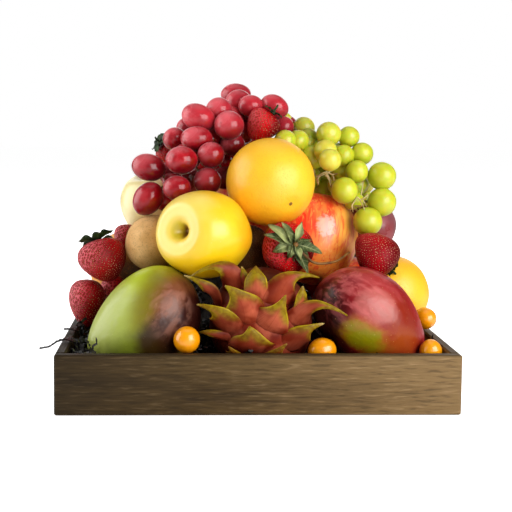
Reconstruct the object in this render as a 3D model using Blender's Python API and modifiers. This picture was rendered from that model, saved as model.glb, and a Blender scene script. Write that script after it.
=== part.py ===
"""Fruit gift basket: a low dark-stained wooden tray heaped with fresh fruit on black paper shred.

The origin is the middle of the tray's underside. The tray's front faces -Y and +Z is up.
"""

import math
import random

import bmesh
import bpy
from mathutils import Euler, Vector
from mathutils.bvhtree import BVHTree

MM = 0.001

# Tray
TRAY_WIDTH = 0.320
TRAY_DEPTH = 0.320
TRAY_HEIGHT = 0.048
WALL = 0.008
FLOOR = 0.006
GAP = 0.0003
EDGE_ROUND = 0.0012

# Paper shred in the tray
BED_BASE = 0.0095
BED_EDGE = 0.034
BED_PEAK = 0.125
BED_PEAK_Y = 0.012
BED_SPREAD = 0.062
BED_HALF = 0.1515
BED_CELLS = 14
BED_ROUGH = 0.003
BED_CLEAR = 0.0025
BED_PROBE = 0.004
BED_REACH = 0.014
SHRED_THICK = 0.0009

# Half width of a strip of paper, in mm
SHRED_HALF = 1.6

# Strawberry leaves and stems
LEAF_THICK = 0.0011
STEM_RADIUS = 0.0011
HUB_RADIUS = 0.0028

# Dragon fruit scales: how thick, how far inside the skin they start and half width of a tip, in mm
SCALE_THICK = 0.0022
SCALE_ROOT = 4
TIP_HALF = 0.8
SCALE_CREASE = 0.25
SCALE_STEPS = (0, 0.35, 0.7, 1)

# Grape stalks and twigs, and how deep in mm a grape sits in the bunch's middle without a twig
STALK_RADIUS = 0.0026
TWIG_RADIUS = 0.0016
TWIG_BITE = 2.5
TWIG_ROUND = 0

# Points of a twig closer than this are one
WELD = 0.000001

# How pieces are joined
SOLVER = "EXACT"

# Rings from pole to pole and sides round the axis, for each kind of fruit
SHAPE_STEPS = {
    "orange": (7, 14),
    "apple": (8, 14),
    "mango": (8, 14),
    "kiwi": (6, 12),
    "strawberry": (6, 9),
    "plum": (6, 12),
    "kumquat": (5, 7),
    "dragon": (7, 14),
    "grape": (4, 7),
    "lump": (3, 6),
}

# Colour, roughness of each finish
FINISHES = {
    "stained_wood": ((0.105, 0.066, 0.036), 0.55),
    "black_paper": ((0.008, 0.008, 0.009), 0.6),
    "green_mango": ((0.33, 0.40, 0.09), 0.38),
    "red_mango": ((0.42, 0.035, 0.03), 0.34),
    "dragon_fruit": ((0.55, 0.16, 0.10), 0.45),
    "yellow_apple": ((0.86, 0.68, 0.09), 0.3),
    "striped_apple": ((0.80, 0.14, 0.03), 0.3),
    "pale_apple": ((0.84, 0.70, 0.26), 0.35),
    "orange_peel": ((0.92, 0.45, 0.02), 0.42),
    "kiwi_skin": ((0.30, 0.17, 0.07), 0.8),
    "strawberry_red": ((0.45, 0.012, 0.02), 0.3),
    "plum_skin": ((0.13, 0.02, 0.04), 0.4),
    "kumquat_peel": ((0.90, 0.32, 0.005), 0.3),
    "red_grape": ((0.20, 0.014, 0.03), 0.35),
    "green_grape": ((0.52, 0.56, 0.05), 0.28),
    "leaf_green": ((0.10, 0.17, 0.04), 0.5),
    "grape_stem": ((0.20, 0.15, 0.06), 0.7),
}

# Each fruit: name, kind, finish, centre in mm, half sizes in mm across, across and along its own
# axis, and turns in degrees about X, Y and Z. A fruit's own axis points to its stem end.
FRUITS = [
    ("mango_front_left", "mango", "green_mango", (-93.2, -102, 59.9), (40.1, 39.7, 54), (0, 45, 0)),
    ("mango_front_right", "mango", "red_mango", (96.2, -106, 64.4), (37.4, 38.6, 51.6), (0, -51, 0)),
    ("yellow_apple", "apple", "yellow_apple", (-40.5, -85.9, 134.1), (39.6, 37, 37), (80, 0, -42)),
    ("top_orange", "orange", "orange_peel", (17, -53.3, 177.2), (39.1, 39.1, 39.1), (116, 0, 25)),
    ("striped_apple", "apple", "striped_apple", (60.9, -13, 121.2), (41, 41, 39.5), (-25, 10, 0)),
    ("kiwi_left", "kiwi", "kiwi_skin", (-86.9, -39.1, 120.8), (24.6, 24.6, 27.2), (60, 0, 20)),
    ("kiwi_middle", "kiwi", "kiwi_skin", (-0.7, -38, 112.5), (20.5, 20.5, 25), (20, 10, 0)),
    ("strawberry_centre", "strawberry", "strawberry_red", (28.7, -72, 120),
     (22.6, 22.4, 23.2), (72, 0, 15)),
    ("strawberry_right", "strawberry", "strawberry_red", (107.6, -69, 116.5),
     (19.5, 19, 21), (134, 0, 100)),
    ("strawberry_upper_left", "strawberry", "strawberry_red", (-130.6, -42, 105),
     (23.2, 18.5, 20.2), (35, 0, 217)),
    ("strawberry_lower_left", "strawberry", "strawberry_red", (-146.6, -36, 66.1),
     (16.2, 16.2, 22.6), (18, 0, 180)),
    ("strawberry_top", "strawberry", "strawberry_red", (12.2, -13.5, 226.5),
     (15.6, 15.6, 16), (38, 0, 80)),
    ("strawberry_behind", "strawberry", "strawberry_red", (-69.9, 32, 199.6), (15, 15, 17), (53, 0, -67)),
    ("strawberry_small", "strawberry", "strawberry_red", (-112.8, -8, 122.1), (11.5, 11, 13), (10, 0, 0)),
    ("strawberry_low", "strawberry", "strawberry_red", (-125.6, -10, 74.2), (12, 12, 15), (70, 0, 20)),
    ("pale_apple", "apple", "pale_apple", (-85.2, 25, 148.8), (34.2, 35, 32.2), (10, -12, 0)),
    ("plum_right", "plum", "plum_skin", (120.6, 14.2, 131.5), (24.4, 24, 24.2), (30, 40, 0)),
    ("plum_middle", "plum", "plum_skin", (94.2, 25, 153.5), (9.4, 9.4, 9.4), (60, 0, 0)),
    ("orange_right", "orange", "orange_peel", (130, -36.3, 76), (33.9, 33.9, 33.5), (60, 0, 140)),
    ("kumquat_front_left", "kumquat", "kumquat_peel", (-56.7, -143, 56.4),
     (10.6, 10.6, 10.9), (20, 0, 0)),
    ("kumquat_front_middle", "kumquat", "kumquat_peel", (52.5, -136, 46.1),
     (10.1, 10.1, 11.7), (0, 80, 0)),
    ("kumquat_front_right", "kumquat", "kumquat_peel", (142, -132, 44.3), (9.2, 9.4, 10.2), (15, 0, 0)),
    ("kumquat_on_rim", "kumquat", "kumquat_peel", (150.8, -78, 60.6), (9.4, 9.4, 12), (82, 0, 8)),
    ("orange_left", "orange", "orange_peel", (-114, 44, 85.2), (37.5, 37.5, 37), (0, -70, 20)),
    ("mango_back_left", "mango", "green_mango", (-91.4, 113, 55.2), (38, 37, 50), (0, -55, 0)),
    ("orange_back", "orange", "orange_peel", (1.5, 113, 46.8), (36.5, 36.5, 36), (-60, 0, 10)),
    ("mango_back_right", "mango", "red_mango", (94.8, 114, 53.1), (37, 36, 48), (0, -55, 180)),
    ("apple_side", "apple", "striped_apple", (111, 37, 56.6), (38.5, 38.5, 36), (0, 35, 10)),
    ("apple_back", "apple", "yellow_apple", (-39.8, 90, 105), (37, 37, 34.5), (-25, 10, 0)),
    ("orange_back_upper", "orange", "orange_peel", (42, 82, 101.3), (37.5, 37.5, 37), (-70, 0, 20)),
    ("apple_back_top", "apple", "striped_apple", (-5.2, 40, 142.5), (33, 33, 30), (-30, 20, 0)),
    ("kiwi_back", "kiwi", "kiwi_skin", (95.6, 84, 130.1), (23, 23, 27.5), (90, 0, 8)),
    ("strawberry_back_left", "strawberry", "strawberry_red", (-97.5, 90, 114.3),
     (18, 18, 20.5), (140, 0, 15)),
    ("strawberry_back_right", "strawberry", "strawberry_red", (78.2, 46, 139.9),
     (17, 17, 20), (150, 10, 0)),
    ("strawberry_back_top", "strawberry", "strawberry_red", (33.2, 62, 169.6),
     (17, 17, 20), (130, 0, 200)),
    ("plum_back", "plum", "plum_skin", (-62, 72, 172.1), (22, 22, 21.6), (-40, 20, 0)),
    ("kumquat_back_middle", "kumquat", "kumquat_peel", (1, 124, 95.7), (10.2, 10.2, 10.8), (70, 0, 40)),
    ("kumquat_side", "kumquat", "kumquat_peel", (-142, -2, 22.4), (9.3, 9.3, 12), (85, 0, 5)),
]

# Dragon fruit: name, kind, finish, centre, half sizes and turns as above
DRAGON = ("dragon_fruit", "dragon", "dragon_fruit", (6, -100, 61.7), (43.1, 44, 45.7), (0, 0, 0))

# Its scales, in mm: where the root meets the skin as (x, z), the point the scale bends towards and
# its tip as (x, y, z), and its half widths at the root, at a third and at two thirds
SCALES = [
    ((-16.2, 92.4), (-23.4, -136, 127.4), (-54, -127, 104.3), (12, 8, 2.8)),
    ((-31, 80.4), (-37.1, -140, 100.4), (-58.9, -126, 105.3), (10, 7, 2.8)),
    ((-10, 70.4), (-11.2, -154, 92.5), (-27.1, -152, 101.4), (19, 15, 6)),
    ((-1.2, 86.5), (-2.4, -146, 102.5), (-1.5, -134, 114.5), (10, 9.5, 8)),
    ((-10.2, 95.5), (-10.4, -132, 105.5), (-12.4, -124, 112.4), (4, 4, 3)),
    ((16.7, 83.5), (18.3, -146, 116.5), (50.3, -131, 104.6), (17, 10, 3.2)),
    ((7, 66.4), (14.8, -158, 80.5), (20.6, -154, 94.5), (19, 13, 5)),
    ((33.8, 74.5), (34.6, -146, 86.5), (35.4, -142, 99.6), (8, 7, 5)),
    ((29.9, 66.4), (40.5, -150, 97.6), (70.8, -146, 76.5), (13, 7, 2.6)),
    ((-24.8, 60.3), (-25, -154, 82.4), (-48.8, -141, 84.4), (17, 12, 4)),
    ((-4.8, 45.2), (-4.9, -160, 59.3), (-8, -157, 70.4), (20, 17, 8)),
    ((28.2, 47.2), (32.9, -154, 67.4), (52.9, -142, 69.4), (16, 11, 4)),
    ((-20.8, 54.2), (-36.8, -142, 62.3), (-46.7, -129, 59.3), (5, 4, 2.5)),
]

# Strawberry leaves: which berry, how many leaves, and their length and half width in mm
CALYXES = [
    ("strawberry_centre", 9, 26, 4),
    ("strawberry_right", 5, 10, 3),
    ("strawberry_upper_left", 6, 22, 4.4),
    ("strawberry_top", 4, 9, 2.6),
    ("strawberry_behind", 4, 12, 3.6),
]

# One berry keeps a long stem that curves out over the apple behind it, its points in mm
LONG_STEM_BERRY = "strawberry_centre"
LONG_STEM = [(42.1, -98, 118.6), (52.1, -100, 111.7), (70.1, -88, 111.7), (85, -69, 116.8)]

# Grapes: centre in mm and half sizes in mm along X, Y and Z, or one radius. A fourth size is a turn
# about Y in degrees.
# The lumps of each bunch's middle: centre and radius in mm.
RED_GRAPES = [
    (-91.2, -35, 188.6, 15.6, 13.5, 12.4, 15),
    (-91.4, -43.2, 161.1, 16, 13.4, 12.9, -58),
    (-65.5, -60, 171.8, 12.4, 11.8, 11.1),
    (-61.6, -48, 195.6, 14.4, 13.5, 12.6),
    (-48.1, -31.3, 214.4, 14.7, 13.1, 11.5),
    (-46.3, -21.8, 233.7, 16.2, 14, 12.4, 25),
    (-35.4, -42.9, 200.4, 12.2, 12, 11.8),
    (-38.5, -45, 177.2, 12.6, 12.4, 12.2),
    (-19, -28.7, 226.7, 13.8, 13.6, 13.3),
    (-27.4, -9, 241, 12.2, 12, 11.8),
    (-8.9, 41.8, 257, 14.9, 12.9, 10.9),
    (-7.5, 20.9, 249.8, 12.6, 11.9, 11.2),
    (3.1, 3.5, 245.1, 11.9, 11.2, 10.5),
    (25.4, 4, 245, 13.8, 12, 10.8, 28),
    (34.4, 4, 225.7, 9.6, 9.6, 10.2),
    (39.5, 37.3, 226.3, 11.9, 11.6, 11.4),
    (-15, -16.2, 209.5, 11.7, 11.2, 10.7),
    (-4.8, 8, 220, 12, 11.5, 11),
    (-67.9, -10, 213.9, 11.3, 11, 10.8),
    (-72.2, -15, 182.7, 11.2, 11, 10.7),
    (-75.2, -27, 158.7, 11.5, 11.1, 10.6),
    (-21.5, -15, 178.4, 11.2, 11, 10.7),
    (-32.4, 62, 187.1, 12.5, 12, 11.5),
    (-54.3, 38, 223.3, 13, 12, 12),
    (-39.5, 20.5, 191.5, 13, 12, 12),
    (-24.6, 34, 204.8, 13, 12, 12),
    (12.9, 60, 210.1, 13, 12, 12),
    (6.8, 48, 230.7, 13, 12, 12),
    (-20.4, 6, 192.9, 13, 12, 12),
]
RED_CORE = [(-71.5, -24, 175.8, 10), (-56.9, -16, 197.6, 17), (-36.4, -4, 215.4, 19),
            (-14.9, 14, 231.4, 17), (6.8, 22, 235.5, 13), (22.5, 28, 235.6, 10),
            (-28.5, 26, 211.7, 16), (-16.7, 44, 207.9, 14)]
GREEN_GRAPES = [
    (55.2, 20.4, 225, 10.7),
    (74.1, -12.9, 219.5, 11.5),
    (93.4, -10, 217.1, 9.9),
    (104.8, -16, 201.6, 10.5),
    (87.1, -19.6, 200, 10),
    (69.6, -24.8, 204.1, 10.6),
    (71.2, -42, 196.5, 10.2),
    (58.5, -9.7, 197.1, 11.8),
    (46.1, -10.3, 212.8, 10.3),
    (57.2, 4.9, 214.2, 10.5),
    (32.7, -22.9, 213, 10.2),
    (97.6, -30.9, 185.8, 10.4),
    (88.3, -8.7, 185.5, 10.4),
    (120.7, -30, 181.8, 13),
    (120.1, -35, 158.4, 13.1),
    (84.5, -42, 169.3, 12.1),
    (105.5, -45, 141.6, 13),
    (78.1, 20, 165.8, 11.1),
    (37.9, 18, 234.2, 5),
    (46.8, 54, 196.5, 11),
    (64.7, 36, 190.6, 11),
    (88.8, 24, 178.8, 11),
    (81, 50, 170.9, 11),
    (56.4, 52, 217.3, 11),
    (80.5, 22, 200.5, 11),
    (61, 14, 177.6, 11),
    (86.9, 3, 171.8, 10.5),
]
GREEN_CORE = [(56.5, 2, 210.2, 12), (70.5, -6, 204.3, 14), (84.5, -4, 200.5, 12),
              (98.6, -16, 186.7, 11), (100.9, -18, 170.8, 10), (66.6, 16, 196.5, 13),
              (70.7, 34, 190.6, 12), (95.2, -30, 158.8, 8)]

# Loose strands that show on the bed, as points in mm. Two of them hang out over the left board.
STRANDS = [
    [(-146, -128, 30), (-143, -110, 44), (-148, -92, 33)],
    [(-137, -144, 30), (-145, -134, 44), (-149, -118, 34)],
    [(-148, -145, 32), (-141, -132, 45), (-139, -118, 32)],
    [(-150, -100, 30), (-146, -84, 45), (-141, -74, 31)],
    [(-120, -148, 30), (-135, -149, 41), (-149, -140, 31)],
    [(-139, -118, 18), (-148.5, -116, 48.5), (-156, -116, 50.8), (-163, -117, 49),
     (-169, -118, 45), (-177, -118, 43.5)],
    [(-140, -74, 14), (-149, -76, 48.5), (-156, -78, 50.8), (-162, -79, 51)],
    [(-40, -147, 28), (-28, -146, 40), (-16, -148, 28)],
    [(148, -112, 30), (146, -98, 42), (149, -84, 30)],
    [(-147, 62, 30), (-140, 74, 42), (-148, 84, 30)],
    [(-146, 146, 30), (-134, 142, 42), (-126, 148, 30)],
    [(146, 146, 30), (138, 149, 43), (126, 146, 30)],
]


def finish_of(slot):
    """The plain material of one finish."""
    found = bpy.data.materials.get(slot)
    if found:
        return found
    colour, roughness = FINISHES[slot]
    made = bpy.data.materials.new(slot)
    made.use_nodes = True
    shader = made.node_tree.nodes["Principled BSDF"]
    shader.inputs["Base Color"].default_value = (*colour, 1)
    shader.inputs["Roughness"].default_value = roughness
    made.diffuse_color = (*colour, 1)
    return made


def new_object(name, shape, slot, smooth=True):
    """An object in the basket from a shape being edited, with its finish."""
    mesh = bpy.data.meshes.new(name)
    shape.to_mesh(mesh)
    shape.free()
    mesh.materials.append(finish_of(slot))
    if smooth:
        mesh.shade_smooth()
    made = bpy.data.objects.new(name, mesh)
    BASKET.objects.link(made)
    return made


def board(name, size, centre):
    """One board of the tray, its edges a little rounded."""
    shape = bmesh.new()
    bmesh.ops.create_cube(shape, size=1)
    bmesh.ops.scale(shape, vec=size, verts=shape.verts)
    made = new_object(name, shape, "stained_wood", smooth=False)
    made.location = centre
    rounding = made.modifiers.new("rounded edges", "BEVEL")
    rounding.width = EDGE_ROUND
    rounding.segments = 1
    return made


def unit_point(kind, polar, around):
    """Where a kind of fruit has this point of the unit sphere. Polar runs from 0 at the stem end."""
    s, c = math.sin(polar), math.cos(polar)
    end = math.pi - polar
    rho, z, shift = s, c, 0.0
    if kind == "apple":
        rho = s * (1 + 0.07 * c) * (1 + 0.03 * (1 - c) / 2 * math.cos(5 * around))
        hollow = 0.42 * math.exp(-((polar / 0.40) ** 2))
        z = 1.16 * c + 0.03 - hollow + 0.24 * math.exp(-((end / 0.34) ** 2))
    elif kind == "mango":
        beak = 0.07 * math.exp(-(((polar - 2.62) / 0.28) ** 2)) * max(0, math.cos(around)) ** 3
        rho = s * (1 + 0.11 * c) + beak
        shift = 0.05 * (1 - 2 * c * c)
    elif kind == "strawberry":
        rho = s * (1 + 0.30 * c) / 1.04 * (1 + 0.03 * math.cos(3 * around + 0.6))
        z = c - 0.10 * math.exp(-((polar / 0.5) ** 2))
    elif kind == "kiwi":
        rho = abs(s) ** 0.92
    elif kind == "plum":
        rho = s * (1 - 0.05 * math.exp(-((math.remainder(around, 2 * math.pi) / 0.25) ** 2)))
        z = c - 0.06 * math.exp(-((polar / 0.3) ** 2))
    return Vector((rho * math.cos(around) + shift, rho * math.sin(around), z))


def fruit(name, kind, slot, centre, half, turns=(0, 0, 0)):
    """One fruit in its place: a sphere whose points are moved to the form of its kind."""
    rings, sides = SHAPE_STEPS[kind]
    shape = bmesh.new()
    bmesh.ops.create_uvsphere(shape, u_segments=sides, v_segments=rings, radius=1)
    for vert in shape.verts:
        polar = math.acos(max(-1, min(1, vert.co.z)))
        vert.co = unit_point(kind, polar, math.atan2(vert.co.y, vert.co.x))
    bmesh.ops.scale(shape, vec=Vector(half) * MM, verts=shape.verts)
    made = new_object(name, shape, slot)
    made.location = Vector(centre) * MM
    made.rotation_euler = [math.radians(turn) for turn in turns]
    return made


def blade(path, halves, front, thick, slot, crease=0.0):
    """A thin leaf, scale or strip along a path, facing one way. Its two sides are split alike."""
    steps = len(path) - 1
    shape = bmesh.new()
    bmesh.ops.create_grid(shape, x_segments=steps, y_segments=2 if crease else 1, size=1)
    for vert in shape.verts:
        index, place = round((vert.co.x + 1) / 2 * steps), vert.co.y
        ahead = path[min(index + 1, steps)] - path[max(index - 1, 0)]
        side = ahead.cross(front).normalized()
        out = side.cross(ahead).normalized()
        half = halves[index] * MM
        vert.co = path[index] + side * half * place + out * crease * half * (0.5 - abs(place))
    bmesh.ops.triangulate(shape, faces=shape.faces)
    made = new_object("blade", shape, slot, smooth=False)
    wall = made.modifiers.new("thickness", "SOLIDIFY")
    wall.thickness = thick
    wall.offset = 0
    return made


def twig(path, radius, slot):
    """A thin stalk along a path, as a closed mesh so that it can be joined."""
    curve = bpy.data.curves.new("twig", "CURVE")
    curve.dimensions = "3D"
    curve.bevel_depth = radius
    curve.bevel_resolution = TWIG_ROUND
    curve.use_fill_caps = True
    spline = curve.splines.new("POLY")
    spline.points.add(len(path) - 1)
    for point, spot in zip(spline.points, path):
        point.co = (*spot, 1)
    drawn = bpy.data.objects.new("twig", curve)
    BASKET.objects.link(drawn)
    graph = bpy.context.evaluated_depsgraph_get()
    outline = bpy.data.meshes.new_from_object(drawn.evaluated_get(graph), depsgraph=graph)
    shape = bmesh.new()
    shape.from_mesh(outline)
    bmesh.ops.remove_doubles(shape, verts=shape.verts, dist=WELD)
    bmesh.ops.recalc_face_normals(shape, faces=shape.faces)
    made = new_object("twig", shape, slot)
    made.matrix_world = drawn.matrix_world
    bpy.data.objects.remove(drawn)
    return made


def fuse(name, base, pieces):
    """Joins pieces to a base as one solid, then removes the pieces."""
    for piece in pieces:
        BASKET.objects.unlink(piece)
        LOOSE.objects.link(piece)
    joined = base.modifiers.new("joined", "BOOLEAN")
    joined.operation = "UNION"
    joined.solver = SOLVER
    joined.operand_type = "COLLECTION"
    joined.collection = LOOSE
    graph = bpy.context.evaluated_depsgraph_get()
    mesh = bpy.data.meshes.new_from_object(base.evaluated_get(graph), depsgraph=graph)
    base.modifiers.clear()
    base.data = mesh
    base.name = mesh.name = name
    for piece in pieces:
        bpy.data.objects.remove(piece)
    return base


def on_dragon(x, z):
    """The point of the dragon fruit's skin that faces the front here, a little inside it, in mm."""
    (cx, cy, cz), (a, b, c) = DRAGON[3], DRAGON[4]
    left = max(0.05, 1 - ((x - cx) / a) ** 2 - ((z - cz) / c) ** 2)
    return Vector((x, cy - b * math.sqrt(left) + SCALE_ROOT, z))


def dragon_fruit():
    """The dragon fruit's body with its scales, each bent outwards to a tip."""
    middle = Vector(DRAGON[3])
    scales = []
    for place, bend, tip, halves in SCALES:
        root, bend, tip = on_dragon(*place), Vector(bend), Vector(tip)
        path = [(root * (1 - t) ** 2 + bend * 2 * t * (1 - t) + tip * t * t) * MM for t in SCALE_STEPS]
        front = (root - middle).normalized() + Vector((0, -1, 0))
        scales.append(blade(path, [*halves, TIP_HALF], front, SCALE_THICK, "dragon_fruit", SCALE_CREASE))
    return fuse("dragon_fruit", fruit(*DRAGON), scales)


def calyx(berry, leaves, length, half_width):
    """The leaves and stem stub at the stem end of one strawberry."""
    _, _, _, centre, half, turns = next(row for row in FRUITS if row[0] == berry)
    turn = Euler([math.radians(t) for t in turns]).to_matrix()
    draw = random.Random(berry)
    top = half[2] * 0.93

    def place(x, y, z):
        return (Vector(centre) + turn @ Vector((x, y, top + z))) * MM

    hub = twig([place(0, 0, 0), place(0, 0, 3)], HUB_RADIUS, "leaf_green")
    stub = [place(0, 0, 1), place(0.6, 0, 6), place(2.4, 0.6, 9)]
    if berry == LONG_STEM_BERRY:
        stub = [place(0, 0, 1)] + [Vector(spot) * MM for spot in LONG_STEM]
    pieces = [twig(stub, STEM_RADIUS, "leaf_green")]
    for leaf in range(leaves):
        angle = 2 * math.pi * (leaf + draw.uniform(-0.2, 0.2)) / leaves
        reach = length * draw.uniform(0.82, 1.05)
        rise = draw.uniform(0.1, 0.5)
        path = []
        for t in (0, 0.3, 0.65, 1):
            out, up = 2 + reach * t * (1 - 0.16 * t), 2 + reach * t * (rise - 0.35 * t)
            path.append(place(out * math.cos(angle), out * math.sin(angle), up))
        halves = [half_width * share for share in (0.22, 1, 0.8, 0.08)]
        pieces.append(blade(path, halves, turn @ Vector((0, 0, 1)), LEAF_THICK, "leaf_green"))
    return fuse(berry + "_leaves", hub, pieces)


def bunch(name, grapes, core, slot):
    """A bunch of grapes round a lumpy middle. A grape that stands clear of it hangs on a twig."""
    lumps = [(Vector(row[:3]), row[3]) for row in core]
    pieces = [fruit("lump", "lump", slot, centre, [radius] * 3) for centre, radius in lumps]
    for index, (centre, _) in enumerate(lumps[1:], 1):
        near = min((lump for lump, _ in lumps[:index]), key=lambda lump: (lump - centre).length)
        pieces.append(twig([near * MM, centre * MM], STALK_RADIUS, slot))
    for x, y, z, *half in grapes:
        tilt = half.pop() if len(half) > 3 else 0
        half = half if len(half) == 3 else half * 3
        centre = Vector((x, y, z))
        pieces.append(fruit("grape", "grape", slot, centre, half, (0, tilt, 0)))
        lump, radius = min(lumps, key=lambda row: (row[0] - centre).length - row[1])
        if (lump - centre).length > radius + min(half) - TWIG_BITE:
            pieces.append(twig([centre * MM, lump * MM], TWIG_RADIUS, slot))
    return fuse(name, pieces[0], pieces[1:])


def tree_of(things):
    """A search tree of the surfaces of these objects, in world space."""
    points, faces = [], []
    for thing in things:
        start = len(points)
        points += [thing.matrix_world @ vert.co for vert in thing.data.vertices]
        faces += [[start + index for index in face.vertices] for face in thing.data.polygons]
    return BVHTree.FromPolygons(points, faces)


def bed_heights(fruits):
    """The free height over each spot of a fine square grid on the tray, up to the first fruit."""
    tree = tree_of(fruits)
    spots = [-BED_HALF + BED_PROBE * i for i in range(round(2 * BED_HALF / BED_PROBE) + 1)]
    up = Vector((0, 0, 1))
    hits = [[tree.ray_cast(Vector((x, y, BED_BASE)), up)[0] for y in spots] for x in spots]
    return [[hit.z if hit else math.inf for hit in row] for row in hits]


def bed(fruits):
    """The bed of shred: a mound kept under the fruits that lie within reach of each point."""
    heights = bed_heights(fruits)
    reach = round(BED_REACH / BED_PROBE)
    draw = random.Random(4)
    shape = bmesh.new()
    bmesh.ops.create_grid(shape, x_segments=BED_CELLS, y_segments=BED_CELLS, size=BED_HALF)
    for vert in shape.verts:
        x, y, _ = vert.co
        i, j = (round((side + BED_HALF) / BED_PROBE) for side in (x, y))
        around = [high for row in heights[max(0, i - reach):i + reach + 1]
                  for high in row[max(0, j - reach):j + reach + 1]]
        swell = math.exp(-(x * x + (y - BED_PEAK_Y) ** 2) / BED_SPREAD ** 2)
        mound = BED_EDGE + (BED_PEAK - BED_EDGE) * swell + draw.uniform(-1, 1) * BED_ROUGH
        vert.co.z = max(BED_BASE, min(mound, min(around) - BED_CLEAR))
    bmesh.ops.triangulate(shape, faces=shape.faces)
    edges = [edge for edge in shape.edges if edge.is_boundary]
    grown = bmesh.ops.extrude_edge_only(shape, edges=edges)["geom"]
    for vert in (part for part in grown if isinstance(part, bmesh.types.BMVert)):
        vert.co.z = FLOOR + GAP
    rim = [part for part in grown if isinstance(part, bmesh.types.BMEdge)]
    underside = bmesh.ops.edgeloop_fill(shape, edges=[edge for edge in rim if edge.is_boundary])["faces"]
    bmesh.ops.poke(shape, faces=underside)
    bmesh.ops.recalc_face_normals(shape, faces=shape.faces)
    return new_object("paper_bed", shape, "black_paper", smooth=False)


def strand(points):
    """One loose strip of paper along its points."""
    path = [Vector(spot) * MM for spot in points]
    return blade(path, [SHRED_HALF] * len(path), Vector((0, 0, 1)), SHRED_THICK, "black_paper")


# The scene and its collections
for old in list(bpy.data.objects):
    bpy.data.objects.remove(old)
BASKET = bpy.data.collections.new("fruit_gift_basket")
LOOSE = bpy.data.collections.new("pieces being joined")
bpy.context.scene.collection.children.link(BASKET)
bpy.context.scene.collection.children.link(LOOSE)
LOOSE.hide_render = True

# Tray: four boards round a floor panel
half_height = TRAY_HEIGHT / 2
end_y = (TRAY_DEPTH - WALL) / 2
side_x = (TRAY_WIDTH - WALL) / 2
side_length = TRAY_DEPTH - 2 * WALL - 2 * GAP
floor_width = TRAY_WIDTH - 2 * WALL - 2 * GAP
board("tray_front", (TRAY_WIDTH, WALL, TRAY_HEIGHT), (0, -end_y, half_height))
board("tray_back", (TRAY_WIDTH, WALL, TRAY_HEIGHT), (0, end_y, half_height))
board("tray_left", (WALL, side_length, TRAY_HEIGHT), (-side_x, 0, half_height))
board("tray_right", (WALL, side_length, TRAY_HEIGHT), (side_x, 0, half_height))
board("tray_floor", (floor_width, side_length, FLOOR), (0, 0, FLOOR / 2))

# Fruits, leaves and bunches
resting = [fruit(*row) for row in FRUITS] + [dragon_fruit()]
leaves = [calyx(*row) for row in CALYXES]
red_grapes = bunch("red_grapes", RED_GRAPES, RED_CORE, "red_grape")
green_grapes = bunch("green_grapes", GREEN_GRAPES, GREEN_CORE, "green_grape")

# Paper shred, fitted into the space that the fruits leave
bpy.context.view_layer.update()
paper = bed(resting)
fuse("paper_bed", paper, [strand(points) for points in STRANDS])
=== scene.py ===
# %% [markdown]
# # A fruit gift basket
#
# A low square tray of dark-stained wood is heaped with fresh fruit on black paper shred. The frame
# holds the tray's boards and a solid for each fruit, at real size and in its place. This lesson
# keeps the boards and grows a finely made fruit over each solid, then gives every surface its
# finish. All sizes are in metres unless a comment says millimetres.

import math
import random

import bmesh
import bpy
import numpy as np
from mathutils import Euler, Matrix, Vector


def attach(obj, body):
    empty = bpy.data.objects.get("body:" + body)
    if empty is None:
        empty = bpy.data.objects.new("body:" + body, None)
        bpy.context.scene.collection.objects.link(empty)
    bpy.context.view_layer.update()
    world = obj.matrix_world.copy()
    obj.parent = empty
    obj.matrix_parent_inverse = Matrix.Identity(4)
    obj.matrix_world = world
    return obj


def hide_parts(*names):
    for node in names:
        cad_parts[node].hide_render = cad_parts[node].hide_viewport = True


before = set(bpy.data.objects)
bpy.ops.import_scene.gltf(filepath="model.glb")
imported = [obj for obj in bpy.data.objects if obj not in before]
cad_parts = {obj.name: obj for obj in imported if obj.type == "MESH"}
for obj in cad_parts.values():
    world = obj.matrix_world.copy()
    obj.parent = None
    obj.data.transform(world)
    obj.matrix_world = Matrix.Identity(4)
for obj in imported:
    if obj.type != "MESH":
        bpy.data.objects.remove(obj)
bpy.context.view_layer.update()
MM = 0.001

# %% [markdown]
# ## The camera
#
# The photo was taken from in front and a little above, with the lens slid down and to the right, as
# a shift lens does, so the tray's front edge stays level. A large shift would push the object off
# centre in every other view, so most of that slide is made by turning the camera instead. A small
# roll levels the front edge again.

# %% The camera
CAMERA_PLACE = Vector((-0.0608, -0.8829, 0.2260))
CAMERA_TURN, CAMERA_TILT, CAMERA_ROLL = (math.radians(angle) for angle in (1.68, 4.15, 0.42))
CAMERA_LENS = 66.3
CAMERA_SHIFT = (0.09, -0.12)

lens = bpy.data.cameras.new("camera")
lens.lens = CAMERA_LENS
lens.shift_x, lens.shift_y = CAMERA_SHIFT
camera = bpy.data.objects.new("camera", lens)
bpy.context.scene.collection.objects.link(camera)
aim = Matrix.Rotation(-CAMERA_TURN, 4, "Z") @ Matrix.Rotation(math.pi / 2 - CAMERA_TILT, 4, "X")
camera.matrix_world = Matrix.Translation(CAMERA_PLACE) @ aim @ Matrix.Rotation(CAMERA_ROLL, 4, "Z")
bpy.context.scene.camera = camera
print("camera", round(CAMERA_PLACE.length, 2), "m from the tray's middle")

# %% [markdown]
# ## Node trees, written briefly
#
# Every finish here is a tree of shader nodes. Such trees can be drawn by hand in the shader editor,
# but written down they come out the same every time, and a change is one number. A few small
# helpers keep them short enough to read: one adds a node and fills its inputs, the others add the
# nodes that come up all the time.

# %% Helpers for node trees


def shade(red, green, blue):
    """A colour as it looks on a screen, 0 to 255, as the linear values that shaders take."""
    parts = [part / 255 for part in (red, green, blue)]
    parts = [part / 12.92 if part <= 0.04045 else ((part + 0.055) / 1.055) ** 2.4 for part in parts]
    return (*parts, 1.0)


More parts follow.
